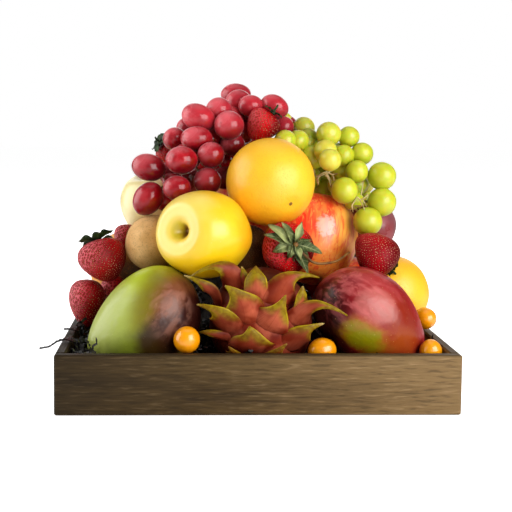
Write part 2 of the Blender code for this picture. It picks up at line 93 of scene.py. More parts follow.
def feed(tree, socket, value):
    """Gives an input a value, or links another node's output to it."""
    if isinstance(value, bpy.types.NodeSocket):
        tree.links.new(value, socket)
    else:
        socket.default_value = value


def put(tree, kind, given=(), **settings):
    """Adds a node with its settings, and feeds its inputs by name or number."""
    made = tree.nodes.new(kind)
    for name, value in settings.items():
        setattr(made, name, value)
    for name, value in dict(given).items():
        feed(tree, made.inputs[name], value)
    return made


print("a middle grey, as shaders take it:", [round(part, 3) for part in shade(128, 128, 128)])

# %% Numbers, colours and noise in a tree


def calc(tree, operation, first, second=0.5):
    """One step of arithmetic."""
    return put(tree, "ShaderNodeMath", {0: first, 1: second}, operation=operation).outputs[0]


def spread(tree, value, low, high, to_low=0.0, to_high=1.0):
    """Eases a value from one range to another."""
    given = {"Value": value, "From Min": low, "From Max": high, "To Min": to_low, "To Max": to_high}
    return put(tree, "ShaderNodeMapRange", given, interpolation_type="SMOOTHSTEP").outputs[0]


def mixed(tree, mask, first, second):
    """A colour between two colours: the first where the mask is 0, the second where it is 1."""
    made = put(tree, "ShaderNodeMix", data_type="RGBA")
    for number, value in ((0, mask), (6, first), (7, second)):
        feed(tree, made.inputs[number], value)
    return made.outputs[2]


def read(tree, name, output="Vector"):
    """What a mesh stores in each of its points under this name."""
    return put(tree, "ShaderNodeAttribute", attribute_name=name).outputs[output]


def place_of(tree):
    """Where a point of the surface is. Every piece keeps the basket's own frame, in metres."""
    return put(tree, "ShaderNodeTexCoord").outputs["Object"]


def part_of(tree, place, axis):
    """One of the three numbers of a place or a direction."""
    return put(tree, "ShaderNodeSeparateXYZ", {0: place}).outputs[axis]


def towards(tree, direction):
    """How far the skin faces a direction, from -1 to 1, by the way out from the fruit's middle."""
    given = {0: read(tree, "facing"), 1: Vector(direction).normalized()}
    return put(tree, "ShaderNodeVectorMath", given, operation="DOT_PRODUCT").outputs["Value"]


def noise(tree, place, scale, detail=3.0, seed=0.0, stretch=None, curl=0.0):
    """Soft cloudy noise over a place, drawn out along an axis where stretch says."""
    if stretch:
        place = put(tree, "ShaderNodeMapping", {"Vector": place, "Scale": stretch}).outputs[0]
    given = {"Vector": place, "Scale": scale, "Detail": detail, "W": seed, "Distortion": curl}
    return put(tree, "ShaderNodeTexNoise", given, noise_dimensions="4D").outputs[0]


print("nodes for numbers, colours and noise can be added")

# %% A finish and its relief


def new_finish(name, roughness, **uniform):
    """A material, its tree and its Principled shader with the values that are the same all over."""
    made = bpy.data.materials.new(name)
    made.use_nodes = True
    tree = made.node_tree
    shader = tree.nodes["Principled BSDF"]
    shader.inputs["Roughness"].default_value = roughness
    for key, value in uniform.items():
        shader.inputs[key.replace("_", " ")].default_value = value
    return made, tree, shader


def relief(tree, shader, height, distance):
    """Feeds a height, times a distance in metres, to the shader's normal."""
    bump = put(tree, "ShaderNodeBump", {"Height": height, "Distance": distance, "Strength": 1.0})
    tree.links.new(bump.outputs[0], shader.inputs["Normal"])


print("a finish starts as a Principled shader with a roughness")

# %% [markdown]
# ## Shared effects
#
# Fruit skins have effects in common: *speckle* for the pale dots on apples and mangoes, *pores* for
# citrus peel, *dusting* for the wax bloom on grapes and plums and *mottle* for colour that wanders.
# They could be copied into each material, but then a better pore would have to be made many times.
# As node groups they are built once. A group puts out only a mask or a height, and each material
# mixes its own colours by it.

# %% Shared effects


def new_group(name, inputs, outputs):
    """A shader node group with named inputs, each with its usual value, and named outputs."""
    tree = bpy.data.node_groups.new(name, "ShaderNodeTree")
    for label, value in inputs.items():
        kind = "NodeSocketVector" if label == "Place" else "NodeSocketFloat"
        socket = tree.interface.new_socket(name=label, in_out="INPUT", socket_type=kind)
        if value is not None:
            socket.default_value = value
    for label in outputs:
        tree.interface.new_socket(name=label, in_out="OUTPUT", socket_type="NodeSocketFloat")
    return tree, tree.nodes.new("NodeGroupInput").outputs, tree.nodes.new("NodeGroupOutput").inputs


print("a group takes and gives numbers, and a vector for a place")

# %% The four effects


def speckle_group():
    """Small round dots, some left out: their mask."""
    inputs = {"Place": None, "Dots": 300.0, "Size": 0.22, "Share": 0.5}
    tree, given, out = new_group("speckle", inputs, ["Mask"])
    cells = put(tree, "ShaderNodeTexVoronoi", {"Vector": given["Place"], "Scale": given["Dots"]})
    dot = spread(tree, cells.outputs["Distance"], given["Size"], calc(tree, "MULTIPLY", given["Size"], 0.4))
    chance = put(tree, "ShaderNodeSeparateColor", {0: cells.outputs["Color"]}).outputs[0]
    kept = calc(tree, "LESS_THAN", chance, given["Share"])
    tree.links.new(calc(tree, "MULTIPLY", dot, kept), out["Mask"])
    return tree


def pores_group():
    """Citrus peel: a pit in each cell, on a skin that swells a little."""
    tree, given, out = new_group("pores", {"Place": None, "Cells": 700.0}, ["Height", "Pit"])
    cells = put(tree, "ShaderNodeTexVoronoi", {"Vector": given["Place"], "Scale": given["Cells"]},
                feature="SMOOTH_F1")
    pit = spread(tree, cells.outputs["Distance"], 0.42, 0.05)
    swell = noise(tree, given["Place"], 160.0, 2.0)
    tree.links.new(calc(tree, "SUBTRACT", calc(tree, "MULTIPLY", swell, 0.6), pit), out["Height"])
    tree.links.new(pit, out["Pit"])
    return tree


def dusting_group():
    """Wax bloom: a film that is rubbed away in broad patches, with finer wear at their borders."""
    inputs = {"Place": None, "Seed": 0.0, "Patches": 55.0, "Cover": 0.5}
    tree, given, out = new_group("dusting", inputs, ["Mask"])
    broad = noise(tree, given["Place"], given["Patches"], 1.0, given["Seed"])
    fine = noise(tree, given["Place"], 420.0, 3.0, given["Seed"])
    level = calc(tree, "ADD", calc(tree, "MULTIPLY", broad, 0.8), calc(tree, "MULTIPLY", fine, 0.2))
    edge = calc(tree, "SUBTRACT", 1.0, given["Cover"])
    film = spread(tree, level, calc(tree, "SUBTRACT", edge, 0.07), calc(tree, "ADD", edge, 0.10))
    tree.links.new(film, out["Mask"])
    return tree


def mottle_group():
    """Colour that wanders over a skin, softly, from 0 to 1."""
    tree, given, out = new_group("mottle", {"Place": None, "Seed": 0.0, "Scale": 40.0}, ["Mask"])
    cloud = noise(tree, given["Place"], given["Scale"], 4.0, given["Seed"])
    tree.links.new(spread(tree, cloud, 0.3, 0.7), out["Mask"])
    return tree


EFFECTS = {
    "speckle": speckle_group(),
    "pores": pores_group(),
    "dusting": dusting_group(),
    "mottle": mottle_group(),
}


def effect(tree, name, output, **given):
    """Places one of the shared effects in a material's tree."""
    made = put(tree, "ShaderNodeGroup", node_tree=EFFECTS[name])
    for label, value in given.items():
        feed(tree, made.inputs[label], value)
    return made.outputs[output]


print("shared effects:", ", ".join(EFFECTS))

# %% [markdown]
# ## The form of each fruit
#
# Fruit can be sculpted by hand, but each new one would cost as much work as the first. Here a fruit
# starts as a sphere, and each kind moves the sphere's points by a short rule: the stem hollow and
# five soft ribs of an apple, the beak of a mango, the groove of a plum. The solids in the frame were
# made by the same rules from a coarse sphere, so a fruit's middle and half sizes can be read back
# from its solid once its turn is known, and the fine fruit lands exactly over it.

# %% The form of each fruit
SOLID_STEPS = {"orange": (7, 14), "apple": (8, 14), "mango": (8, 14), "kiwi": (6, 12),
               "strawberry": (6, 9), "plum": (6, 12), "kumquat": (5, 7)}
FINE_STEPS = {"orange": (72, 96), "apple": (84, 110), "mango": (80, 110), "kiwi": (60, 80),
              "strawberry": (130, 180), "plum": (56, 76), "kumquat": (36, 48), "dragon": (90, 120),
              "grape": (22, 30)}
spheres = {}


def sphere(steps):
    """The mesh of a unit sphere with this many rings and sides, made once, and its points. Blender's
    own sphere has its faces in another order each time, and hairs are strewn by the order of the
    faces, so this one is laid down in one fixed order."""
    if steps not in spheres:
        rings, sides = steps
        points = [(0, 0, 1)]
        for polar in (math.pi * ring / rings for ring in range(1, rings)):
            for around in (2 * math.pi * side / sides for side in range(sides)):
                points.append((math.sin(polar) * math.sin(around),
                               math.sin(polar) * math.cos(around), math.cos(polar)))
        points.append((0, 0, -1))
        last = len(points) - 1
        faces = []
        for this, after in ((side, (side + 1) % sides) for side in range(sides)):
            faces.append((0, 1 + after, 1 + this))
            for top in range(1, last - sides, sides):
                faces.append((top + this, top + after, top + sides + after, top + sides + this))
            faces.append((last - sides + this, last - sides + after, last))
        mesh = bpy.data.meshes.new("sphere")
        mesh.from_pydata(points, [], faces)
        spheres[steps] = mesh, points_of(mesh)
    return spheres[steps]


def points_of(mesh):
    """A mesh's points as rows of x, y, z."""
    flat = np.empty(len(mesh.vertices) * 3)
    mesh.vertices.foreach_get("co", flat)
    return flat.reshape(-1, 3)


print("an orange has this many rings and sides:", FINE_STEPS["orange"])

# %% How each kind differs from a sphere


def form(kind, unit):
    """Where a kind of fruit has these points of the unit sphere. Its stem end is at +Z."""
    polar = np.arccos(np.clip(unit[:, 2], -1, 1))
    around = np.arctan2(unit[:, 1], unit[:, 0])
    s, c = np.sin(polar), np.cos(polar)
    rho, z, shift = s, c, 0.0
    if kind == "apple":
        rho = s * (1 + 0.07 * c) * (1 + 0.03 * (1 - c) / 2 * np.cos(5 * around))
        hollow = 0.42 * np.exp(-((polar / 0.40) ** 2))
        z = 1.16 * c + 0.03 - hollow + 0.24 * np.exp(-(((np.pi - polar) / 0.34) ** 2))
    elif kind == "mango":
        beak = 0.07 * np.exp(-(((polar - 2.62) / 0.28) ** 2)) * np.maximum(0, np.cos(around)) ** 3
        rho = s * (1 + 0.11 * c) + beak
        shift = 0.05 * (1 - 2 * c * c)
    elif kind == "strawberry":
        rho = s * (1 + 0.30 * c) / 1.04 * (1 + 0.03 * np.cos(3 * around + 0.6))
        z = c - 0.10 * np.exp(-((polar / 0.5) ** 2))
    elif kind == "kiwi":
        rho = s ** 0.92
    elif kind == "plum":
        rho = s * (1 - 0.05 * np.exp(-((around / 0.25) ** 2)))
        z = c - 0.06 * np.exp(-((polar / 0.3) ** 2))
    return np.stack([rho * np.cos(around) + shift, rho * np.sin(around), z], axis=1)


print("forms:", ", ".join(SOLID_STEPS))

# %% Measuring a solid and growing a fruit over it


def measure(node, kind, turns):
    """A fruit's middle, half sizes and turn, read from its solid in the frame."""
    turn = np.array(Euler([math.radians(angle) for angle in turns]).to_matrix())
    own = points_of(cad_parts[node].data) @ turn
    plain = form(kind, sphere(SOLID_STEPS[kind])[1])
    half = (own.max(0) - own.min(0)) / (plain.max(0) - plain.min(0))
    return turn @ (own.min(0) - plain.min(0) * half), half, turn


def uneven(unit, amount, seed):
    """A gentle swelling that is different on each fruit, as a factor for each point."""
    draw = random.Random(seed)
    factor = np.ones(len(unit))
    for waves in (1.6, 2.3, 3.1, 4.4):
        axis = Vector([draw.gauss(0, 1) for _ in range(3)]).normalized()
        factor += amount / 4 * np.cos(waves * (unit @ np.array(axis)) * 2 + draw.uniform(0, 6.28))
    return factor


def store(mesh, name, values):
    """Keeps a number or a vector in each point of a mesh, for its material to read."""
    values = np.asarray(values, np.float32)
    kind, field = ("FLOAT_VECTOR", "vector") if values.ndim == 2 else ("FLOAT", "value")
    mesh.attributes.new(name, kind, "POINT").data.foreach_set(field, values.ravel())


def grown(name, kind, middle, half, turn, seed, finish, amount=0.012, relief_of=None):
    """A finely made fruit. It keeps its place on the skin and the way that the skin faces, which is
    taken as seen from behind where the fruit is in the back half, so its best side shows there."""
    base, unit = sphere(FINE_STEPS[kind])
    own = form(kind, unit) * uneven(unit, amount, seed)[:, None] * half
    if relief_of:
        own = own * (1 + relief_of(unit, half))[:, None]
    mesh = base.copy()
    mesh.vertices.foreach_set("co", (own @ turn.T + middle).astype(np.float32).ravel())
    store(mesh, "own", own)
    store(mesh, "direction", unit)
    facing = (own / half) @ turn.T
    facing[:, 1] *= -1 if middle[1] > 0 else 1
    store(mesh, "facing", facing)
    store(mesh, "seed", np.full(len(unit), random.Random(seed).uniform(0, 50)))
    mesh.materials.append(finish)
    mesh.shade_smooth()
    made = bpy.data.objects.new(name, mesh)
    bpy.context.scene.collection.objects.link(made)
    return made


print("a grown fruit keeps its place, direction, facing and seed in its points")

# %% Fixing a piece to the tray


def settle(piece, slot, *nodes):
    """Fixes a finished piece to the tray in place of its solids. The slot is not used."""
    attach(piece, "root")
    if nodes:
        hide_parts(*nodes)


def joined(name, pieces):
    """Several objects as one mesh."""
    with bpy.context.temp_override(active_object=pieces[0], selected_editable_objects=pieces):
        bpy.ops.object.join()
    pieces[0].name = pieces[0].data.name = name
    return pieces[0]


print("every piece rides on the one body, root")

# %% [markdown]
# ## Stained wood
#
# The tray is plain butt-jointed board with a dark water stain. Stain sinks deeper into the soft
# early wood, so the grain shows as fine dark and light streaks along each board. A picture of wood
# could be laid on, but it would repeat and show its seams. Here the streaks are noise, drawn out
# along the board in three widths, so no two places are alike. Painted shade darkens the boards to
# the left and painted light brightens them to the right, where the lamp stands, and the top edges
# are darker. The boards stay as the frame has them.

# %% Stained wood
BOARD_GRAIN = {"tray_front": "x", "tray_back": "x", "tray_floor": "x",
               "tray_left": "y", "tray_right": "y"}


def wood(name, along):
    """Dark-stained wood with its grain along one axis, with painted shade to the left and painted
    light to the right.
    """
    made, tree, shader = new_finish(name, 0.52, Specular_IOR_Level=0.15)
    place = place_of(tree)
    long_fibres = (1, 16, 16) if along == "x" else (16, 1, 16)
    short_fibres = (1, 10, 10) if along == "x" else (10, 1, 10)
    fine = noise(tree, place, 34.0, 6.0, 1.0, long_fibres)
    streaks = noise(tree, place, 64.0, 5.0, 4.0, short_fibres)
    bands = noise(tree, place, 6.0, 3.0, 2.0, short_fibres, 0.4)
    worn = noise(tree, place, 9.0, 2.0, 3.0)
    colour = mixed(tree, spread(tree, fine, 0.3, 0.7), shade(55, 39, 15), shade(80, 60, 29))
    colour = mixed(tree, spread(tree, bands, 0.35, 0.65, 0.0, 0.3), colour, shade(108, 84, 46))
    colour = mixed(tree, spread(tree, worn, 0.5, 0.75, 0.0, 0.25), colour, shade(98, 79, 50))
    wavy = calc(tree, "MULTIPLY", calc(tree, "SUBTRACT", bands, 0.5), 0.1)
    across = calc(tree, "ADD", part_of(tree, place, "X"), wavy)
    # Painted shade to the left and painted light to the right, as the lamp on the right lit the tray.
    colour = mixed(tree, spread(tree, across, -0.2, 0.06, 0.8, 0.0), colour, shade(24, 18, 9))
    colour = mixed(tree, spread(tree, across, -0.06, 0.19, 0.0, 0.58), colour, shade(146, 117, 78))
    # The pale streaks show more in the painted light and less in the painted shade.
    thin = spread(tree, across, -0.16, 0.16, 0.07, 0.34)
    light = calc(tree, "MULTIPLY", spread(tree, streaks, 0.53, 0.72), thin)
    colour = mixed(tree, light, colour, shade(172, 142, 104))
    colour = mixed(tree, spread(tree, streaks, 0.48, 0.32, 0.0, 0.45), colour, shade(34, 24, 12))
    top_edge = spread(tree, part_of(tree, place, "Z"), 0.0466, 0.0476, 0.0, 0.62)
    colour = mixed(tree, top_edge, colour, shade(34, 25, 13))
    tree.links.new(colour, shader.inputs["Base Color"])
    tree.links.new(spread(tree, fine, 0.3, 0.7, 0.6, 0.46), shader.inputs["Roughness"])
    relief(tree, shader, calc(tree, "ADD", fine, streaks), 0.0005)
    return made


woods = {along: wood("stained_wood_" + along, along) for along in "xy"}
for node, along in BOARD_GRAIN.items():
    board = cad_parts[node]
    board.data.materials.clear()
    board.data.materials.append(woods[along])
print("boards:", ", ".join(BOARD_GRAIN))

# %% [markdown]
# ## Skins of the single fruits
#
# Each large fruit has its own skin, because no two of them are coloured alike. A skin begins with
# two or three colours that wander into each other, then takes what that fruit has: a blush on the
# side that saw the sun, streaks from stem to blossom end, pale dots, pores or bloom. Colours that
# depend on the side are masked by the way out from the fruit's middle, and some of them are painted
# light, painted shade and painted highlights.

# %% Laying patches of colour on a skin


def painted(tree, colour, patches, ragged=0.35, size=60.0):
    """Soft patches over a colour. A patch has the way it faces, how far the skin must face that way
    for it to begin and to be full, its strength and its tint."""
    cloud = noise(tree, read(tree, "own"), size, 4.0, read(tree, "seed", "Fac"), curl=0.6)
    edge = calc(tree, "MULTIPLY", calc(tree, "SUBTRACT", cloud, 0.5), ragged)
    for facing, begin, full, strength, tint in patches:
        near = calc(tree, "ADD", towards(tree, facing), edge)
        colour = mixed(tree, spread(tree, near, begin, full, 0.0, strength), colour, tint)
    return colour


print("patches are laid by the way that a skin faces")

# %% [markdown]
# ## Mango skins
#
# A mango blushes where the sun reached it, and the rest stays green. A plain blend from green to red
# looks like plastic, because real borders are ragged and have several tones. So each mango has a list
# of soft patches that overlap: its own colours, and painted light, painted shade and a painted
# highlight. Long strokes of noise stand for the wax that is half rubbed off, and on the green mango
# they also carry a painted highlight. Small pale dots stand for the pores.

# %% Skins of mangoes


def mango_skin(name, ground, deep, patches, wax_and_highlight, dust):
    """A mango's skin: two ground colours, patches of colour and of painted light and shade, strokes
    of waxy dust that can also hold a painted highlight, and pale dots.
    """
    made, tree, shader = new_finish(name, 0.36, Specular_IOR_Level=0.35)
    own, seed = read(tree, "own"), read(tree, "seed", "Fac")
    wander = effect(tree, "mottle", "Mask", Place=own, Seed=seed, Scale=28.0)
    swirl = spread(tree, noise(tree, own, 150.0, 8.0, seed, (1, 1, 0.42), 0.8), 0.43, 0.68)
    colour = painted(tree, mixed(tree, wander, ground, deep), patches, 0.18)
    facing, begin, full, strength, tint = wax_and_highlight
    cover = calc(tree, "MULTIPLY", swirl, spread(tree, towards(tree, facing), begin, full, 0.0, strength))
    colour = mixed(tree, cover, colour, tint)
    dots = effect(tree, "speckle", "Mask", Place=own, Dots=330.0, Size=0.15, Share=0.5)
    colour = mixed(tree, calc(tree, "MULTIPLY", dots, dust), colour, shade(214, 176, 96))
    tree.links.new(colour, shader.inputs["Base Color"])
    tree.links.new(spread(tree, swirl, 0, 1, 0.30, 0.46), shader.inputs["Roughness"])
    dents = noise(tree, own, 210.0, 2.0, seed)
    relief(tree, shader, calc(tree, "ADD", dents, calc(tree, "MULTIPLY", dots, 0.3)), 0.00035)
    return made


green_mango = mango_skin(
    "green_mango_skin", shade(160, 170, 52), shade(146, 160, 40),
    # Pale left side: partly wax, partly painted light from the pale wall on the left.
    [((-0.8, -0.5, 0.3), 0.50, 0.98, 0.8, shade(180, 190, 102)),
     ((0, -0.3, 1), 0.80, 1.0, 0.7, shade(180, 194, 24)),
     ((0.75, -0.6, 0.28), 0.30, 0.72, 0.85, shade(110, 88, 18)),
     # Darker low down: painted shade.
     ((-0.1, -0.9, -0.45), 0.76, 0.98, 0.7, shade(88, 96, 28)),
     ((0.75, -0.6, 0.28), 0.66, 0.90, 0.9, shade(116, 56, 38)),
     # Dark low right and right edge: the brown blush, deepened with painted shade.
     ((0.36, -0.9, -0.24), 0.82, 0.97, 0.9, shade(46, 16, 6)),
     ((0.9, -0.4, 0.1), 0.84, 0.98, 0.95, shade(46, 12, 8))],
    # Wax strokes over a painted highlight, pale where the lamp on the right is reflected.
    ((0.47, -0.82, 0.33), 0.86, 1.0, 0.25, shade(196, 132, 108)), 0.12)
red_mango = mango_skin(
    "red_mango_skin", shade(158, 22, 28), shade(138, 16, 22),
    [((0.5, -0.8, 0.1), 0.74, 1.0, 0.85, shade(130, 36, 8)),
     ((0, -0.65, 0.76), 0.84, 1.0, 0.3, shade(196, 80, 76)),
     ((-0.55, -0.6, 0.58), 0.80, 0.98, 0.75, shade(112, 6, 16)),
     ((0.45, -0.85, -0.35), 0.80, 1.0, 0.8, shade(160, 72, 16)),
     # Dark left side and lower left: painted shade.
     ((-0.9, -0.42, 0.14), 0.66, 0.96, 0.92, shade(36, 4, 2)),
     ((-0.82, -0.47, -0.33), 0.76, 1.0, 0.92, shade(32, 6, 4)),
     ((-0.2, -0.93, -0.28), 0.86, 0.97, 0.85, shade(158, 96, 14)),
     ((-0.24, -0.93, -0.30), 0.90, 0.985, 0.95, shade(128, 124, 0)),
     # Pale patch: a painted highlight.
     ((0.04, -0.93, 0.38), 0.92, 1.0, 0.25, shade(226, 150, 138))],
    ((-0.35, -0.5, 0.8), 0.40, 1.0, 0.52, shade(204, 100, 98)), 0.4)
print("mango skins made")

# %% [markdown]
# ## Apple skins
#
# An apple's streaks run from its stem to its blossom end. Noise over the skin would give blots, so it
# is laid over the direction from the apple's middle and drawn out along its axis, in three sizes. The
# hollow is brown, with a ring of another tone round it: two ovals near the stem end. A clear coat
# over it all gives the shine of a rubbed apple. Some patches are painted light, and the striped
# apple also has a painted highlight.

# %% Skins of apples


def from_pole(tree, middle, half_width, half_height):
    """How far a place is from the middle of an oval near an apple's stem end, 1 at its border."""
    given = {0: read(tree, "direction"), 1: (middle, 0, 1)}
    away = put(tree, "ShaderNodeVectorMath", given, operation="SUBTRACT").outputs[0]
    given = {0: away, 1: (1 / half_width, 1 / half_height, 1)}
    away = put(tree, "ShaderNodeVectorMath", given, operation="MULTIPLY").outputs[0]
    return put(tree, "ShaderNodeVectorMath", {0: away}, operation="LENGTH").outputs["Value"]


def apple_skin(name, ground, deep, patches, ring, ovals, streaks=(), gloss=0.34, painted_highlight=()):
    """An apple's skin: wandering ground colour, patches, some of them painted light, streaks, a painted
    highlight with a crisp border, pale dots, and a ring of its own colour round the brown hollow. The
    ring and the hollow are ovals near the stem end."""
    made, tree, shader = new_finish(name, gloss, Coat_Weight=0.35, Coat_Roughness=0.24)
    own, seed = read(tree, "own"), read(tree, "seed", "Fac")
    wander = effect(tree, "mottle", "Mask", Place=own, Seed=seed, Scale=24.0)
    colour = painted(tree, mixed(tree, wander, ground, deep), patches)
    for scale, low, high, strength, tint in streaks:
        stripe = noise(tree, read(tree, "direction"), scale, 5.0, seed, (1, 1, 0.2), 0.5)
        colour = mixed(tree, spread(tree, stripe, low, high, 0.0, strength), colour, tint)
    # A painted highlight, where the lamp is reflected.
    colour = painted(tree, colour, painted_highlight, 0.07, 300.0)
    for oval, strength, tint in zip(ovals, (0.85, 0.95), (ring, shade(122, 72, 20))):
        colour = mixed(tree, spread(tree, from_pole(tree, *oval), 1.0, 0.55, 0.0, strength), colour, tint)
    dots = effect(tree, "speckle", "Mask", Place=own, Dots=230.0, Size=0.12, Share=0.5)
    colour = mixed(tree, calc(tree, "MULTIPLY", dots, 0.4), colour, shade(252, 226, 150))
    tree.links.new(colour, shader.inputs["Base Color"])
    relief(tree, shader, calc(tree, "ADD", noise(tree, own, 90.0, 2.0, seed), dots), 0.00008)
    return made


print("an apple skin has its own patches, streaks and hollow")

# %% Three apple skins
yellow_apple = apple_skin(
    "yellow_apple_skin", shade(246, 204, 30), shade(244, 192, 18),
    # Pale left side: painted light and reflection from the pale wall on the left.
    [((-0.8, -0.5, 0.4), 0.45, 1.0, 0.75, shade(250, 224, 112)),
     ((0.9, -0.3, 0.1), 0.75, 1.0, 0.7, shade(240, 164, 10)),
     # Warmer, brighter low side: painted light bounced up from the fruit below.
     ((0, -0.5, -0.9), 0.45, 0.95, 0.85, shade(252, 204, 0))],
    shade(206, 184, 10), [(-0.07, 0.20, 0.24), (0.03, 0.13, 0.19)])
ROUND_HOLLOW = [(0, 0.45, 0.45), (0, 0.25, 0.25)]
pale_apple = apple_skin(
    "pale_apple_skin", shade(254, 242, 186), shade(253, 234, 160),
    [((0.1, -0.6, -0.8), 0.4, 1.0, 0.7, shade(240, 190, 90))],
    shade(212, 196, 90), ROUND_HOLLOW)
RED_STREAKS = [
    (3.2, 0.48, 0.64, 0.65, shade(252, 150, 62)),
    (9.0, 0.50, 0.60, 0.65, shade(232, 40, 22)),
    (24.0, 0.53, 0.64, 0.55, shade(253, 176, 84)),
]
striped_apple = apple_skin(
    "striped_apple_skin", shade(248, 98, 44), shade(246, 82, 40),
    [((-0.38, -0.67, 0.63), 0.72, 1.0, 0.8, shade(246, 56, 34)),
     # Orange right and low sides: the apple's own colour, brightened with painted light where neighbours
     # shade it.
     ((0.85, -0.5, 0.1), 0.62, 0.96, 0.8, shade(255, 196, 72)),
     ((0.36, -0.85, -0.4), 0.74, 0.98, 0.7, shade(255, 150, 48))],
    shade(200, 150, 40), ROUND_HOLLOW, RED_STREAKS, 0.42,
    # A painted highlight, where the lamp is reflected.
    [((0.1, -0.93, 0.36), 0.97, 0.994, 0.55, shade(255, 206, 196))])
print("apple skins made:", yellow_apple.name, pale_apple.name, striped_apple.name)

# %% [markdown]
# ## Citrus peel
#
# Peel has a pit over each of its oil cells, hundreds on one orange. To press them into the mesh would
# take millions of points, so relief this fine is left to a bump. A Voronoi texture is made of cells,
# and the distance from a cell's middle is already the form of a pit. A small brown button marks the
# stem end.

# %% Skins of citrus fruit


def citrus_skin(name, ground, deep, cells, depth, gloss, coat=0.08, patches=()):
    """Peel full of small oil cells, deeper in colour at random and, as painted shade, towards the
    bottom, with patches.
    """
    made, tree, shader = new_finish(name, gloss, Coat_Weight=coat, Coat_Roughness=gloss * 0.8)
    own, seed = read(tree, "own"), read(tree, "seed", "Fac")
    wander = effect(tree, "mottle", "Mask", Place=own, Seed=seed, Scale=22.0)
    pit = effect(tree, "pores", "Pit", Place=own, Cells=cells)
    # Painted shade: the peel turns deeper and darker towards the bottom.
    low = spread(tree, towards(tree, (-0.1, 0.1, -1)), -0.1, 0.9, 0.0, 0.8)
    colour = mixed(tree, calc(tree, "MAXIMUM", calc(tree, "MULTIPLY", wander, 0.5), low), ground, deep)
    colour = painted(tree, colour, patches)
    colour = mixed(tree, calc(tree, "MULTIPLY", pit, 0.18), colour, shade(230, 140, 4))
    height = part_of(tree, read(tree, "direction"), "Z")
    colour = mixed(tree, spread(tree, height, 0.9984, 0.9995, 0.0, 0.9), colour, shade(92, 48, 14))
    tree.links.new(colour, shader.inputs["Base Color"])
    relief(tree, shader, effect(tree, "pores", "Height", Place=own, Cells=cells), depth)
    return made


orange_peel = citrus_skin("orange_peel", shade(251, 196, 40), shade(246, 168, 12), 620.0, 0.00016, 0.40)
# A darker copy of the orange peel, with painted shade on the side that shows between its neighbours.
shaded_orange_peel = citrus_skin("deep_orange_peel", shade(248, 172, 40), shade(176, 84, 8), 620.0, 0.00016, 0.40,
                        patches=[((0.5, 0.85, -0.2), 0.2, 0.8, 0.95, shade(52, 18, 6))])
kumquat_peel = citrus_skin("kumquat_peel", shade(247, 164, 8), shade(238, 132, 0), 900.0, 0.00006, 0.2, 0.5)
print("citrus peels made")

# %% [markdown]
# ## Skins of berries, plums and kiwis
#
# A strawberry's dimples are large enough to be pressed into its mesh, which is done further down. Each
# point then keeps how deep in a dimple it is, and the skin reads that number to paint shade in the
# dimples, so that colour and form agree. A plum wears the shared dusting of wax. A kiwi is dry and
# flecked, and gets real hairs later.

# %% The skin of strawberries


def strawberry_skin(name, ground, deep, painted_sheen, pit):
    """Crimson skin, with painted shade low on the right and in the dimples. Where it faces up and to the
    left, a pink painted sheen lies on the ridges between the dimples."""
    made, tree, shader = new_finish(name, 0.32, Specular_IOR_Level=0.1)
    own, seed = read(tree, "own"), read(tree, "seed", "Fac")
    wander = effect(tree, "mottle", "Mask", Place=own, Seed=seed, Scale=60.0)
    dimple = read(tree, "dimple", "Fac")
    colour = mixed(tree, wander, ground, deep)
    # A painted sheen on the ridges, on the side that faces up and to the left.
    rosy = spread(tree, towards(tree, (-0.85, -0.45, 0.35)), 0.2, 1.0, 0.0, painted_sheen)
    ridges = calc(tree, "MULTIPLY", rosy, spread(tree, dimple, 0.4, 0.0))
    colour = mixed(tree, ridges, colour, shade(214, 104, 112))
    # Painted shade low on the right.
    colour = painted(tree, colour, [((0.9, -0.3, -0.3), 0.2, 1.0, 0.85, shade(70, 0, 6))])
    # Painted shade in the dimples.
    colour = mixed(tree, spread(tree, dimple, 0.2, 0.8, 0.0, 0.92), colour, pit)
    tree.links.new(colour, shader.inputs["Base Color"])
    relief(tree, shader, noise(tree, own, 900.0, 2.0, seed), 0.00008)
    return made


rosy_red = strawberry_skin("rosy_strawberry_skin", shade(174, 10, 18), shade(140, 2, 10),
                           0.95, shade(54, 0, 6))
bright_red = strawberry_skin("bright_strawberry_skin", shade(214, 14, 18), shade(180, 4, 10),
                             0.6, shade(72, 0, 6))
deep_red = strawberry_skin("strawberry_skin", shade(164, 4, 16), shade(132, 0, 6),
                           0.1, shade(92, 0, 8))
print("three strawberry skins made")

# %% The skin of plums


def plum_skin():
    """Dark wine skin under a thin, streaky film of wax."""
    made, tree, shader = new_finish("plum_skin", 0.38, Sheen_Weight=0.2, Sheen_Roughness=0.4)
    own, seed = read(tree, "own"), read(tree, "seed", "Fac")
    wander = effect(tree, "mottle", "Mask", Place=own, Seed=seed, Scale=50.0)
    wax = effect(tree, "dusting", "Mask", Place=own, Seed=seed, Patches=40.0, Cover=0.55)
    colour = mixed(tree, wander, shade(132, 34, 36), shade(90, 16, 22))
    colour = mixed(tree, calc(tree, "MULTIPLY", wax, 0.22), colour, shade(186, 120, 128))
    tree.links.new(colour, shader.inputs["Base Color"])
    tree.links.new(spread(tree, wax, 0, 1, 0.24, 0.5), shader.inputs["Roughness"])
    relief(tree, shader, wander, 0.00008)
    return made


plum_purple = plum_skin()
print("plum skin made")

# %% The skin of kiwis


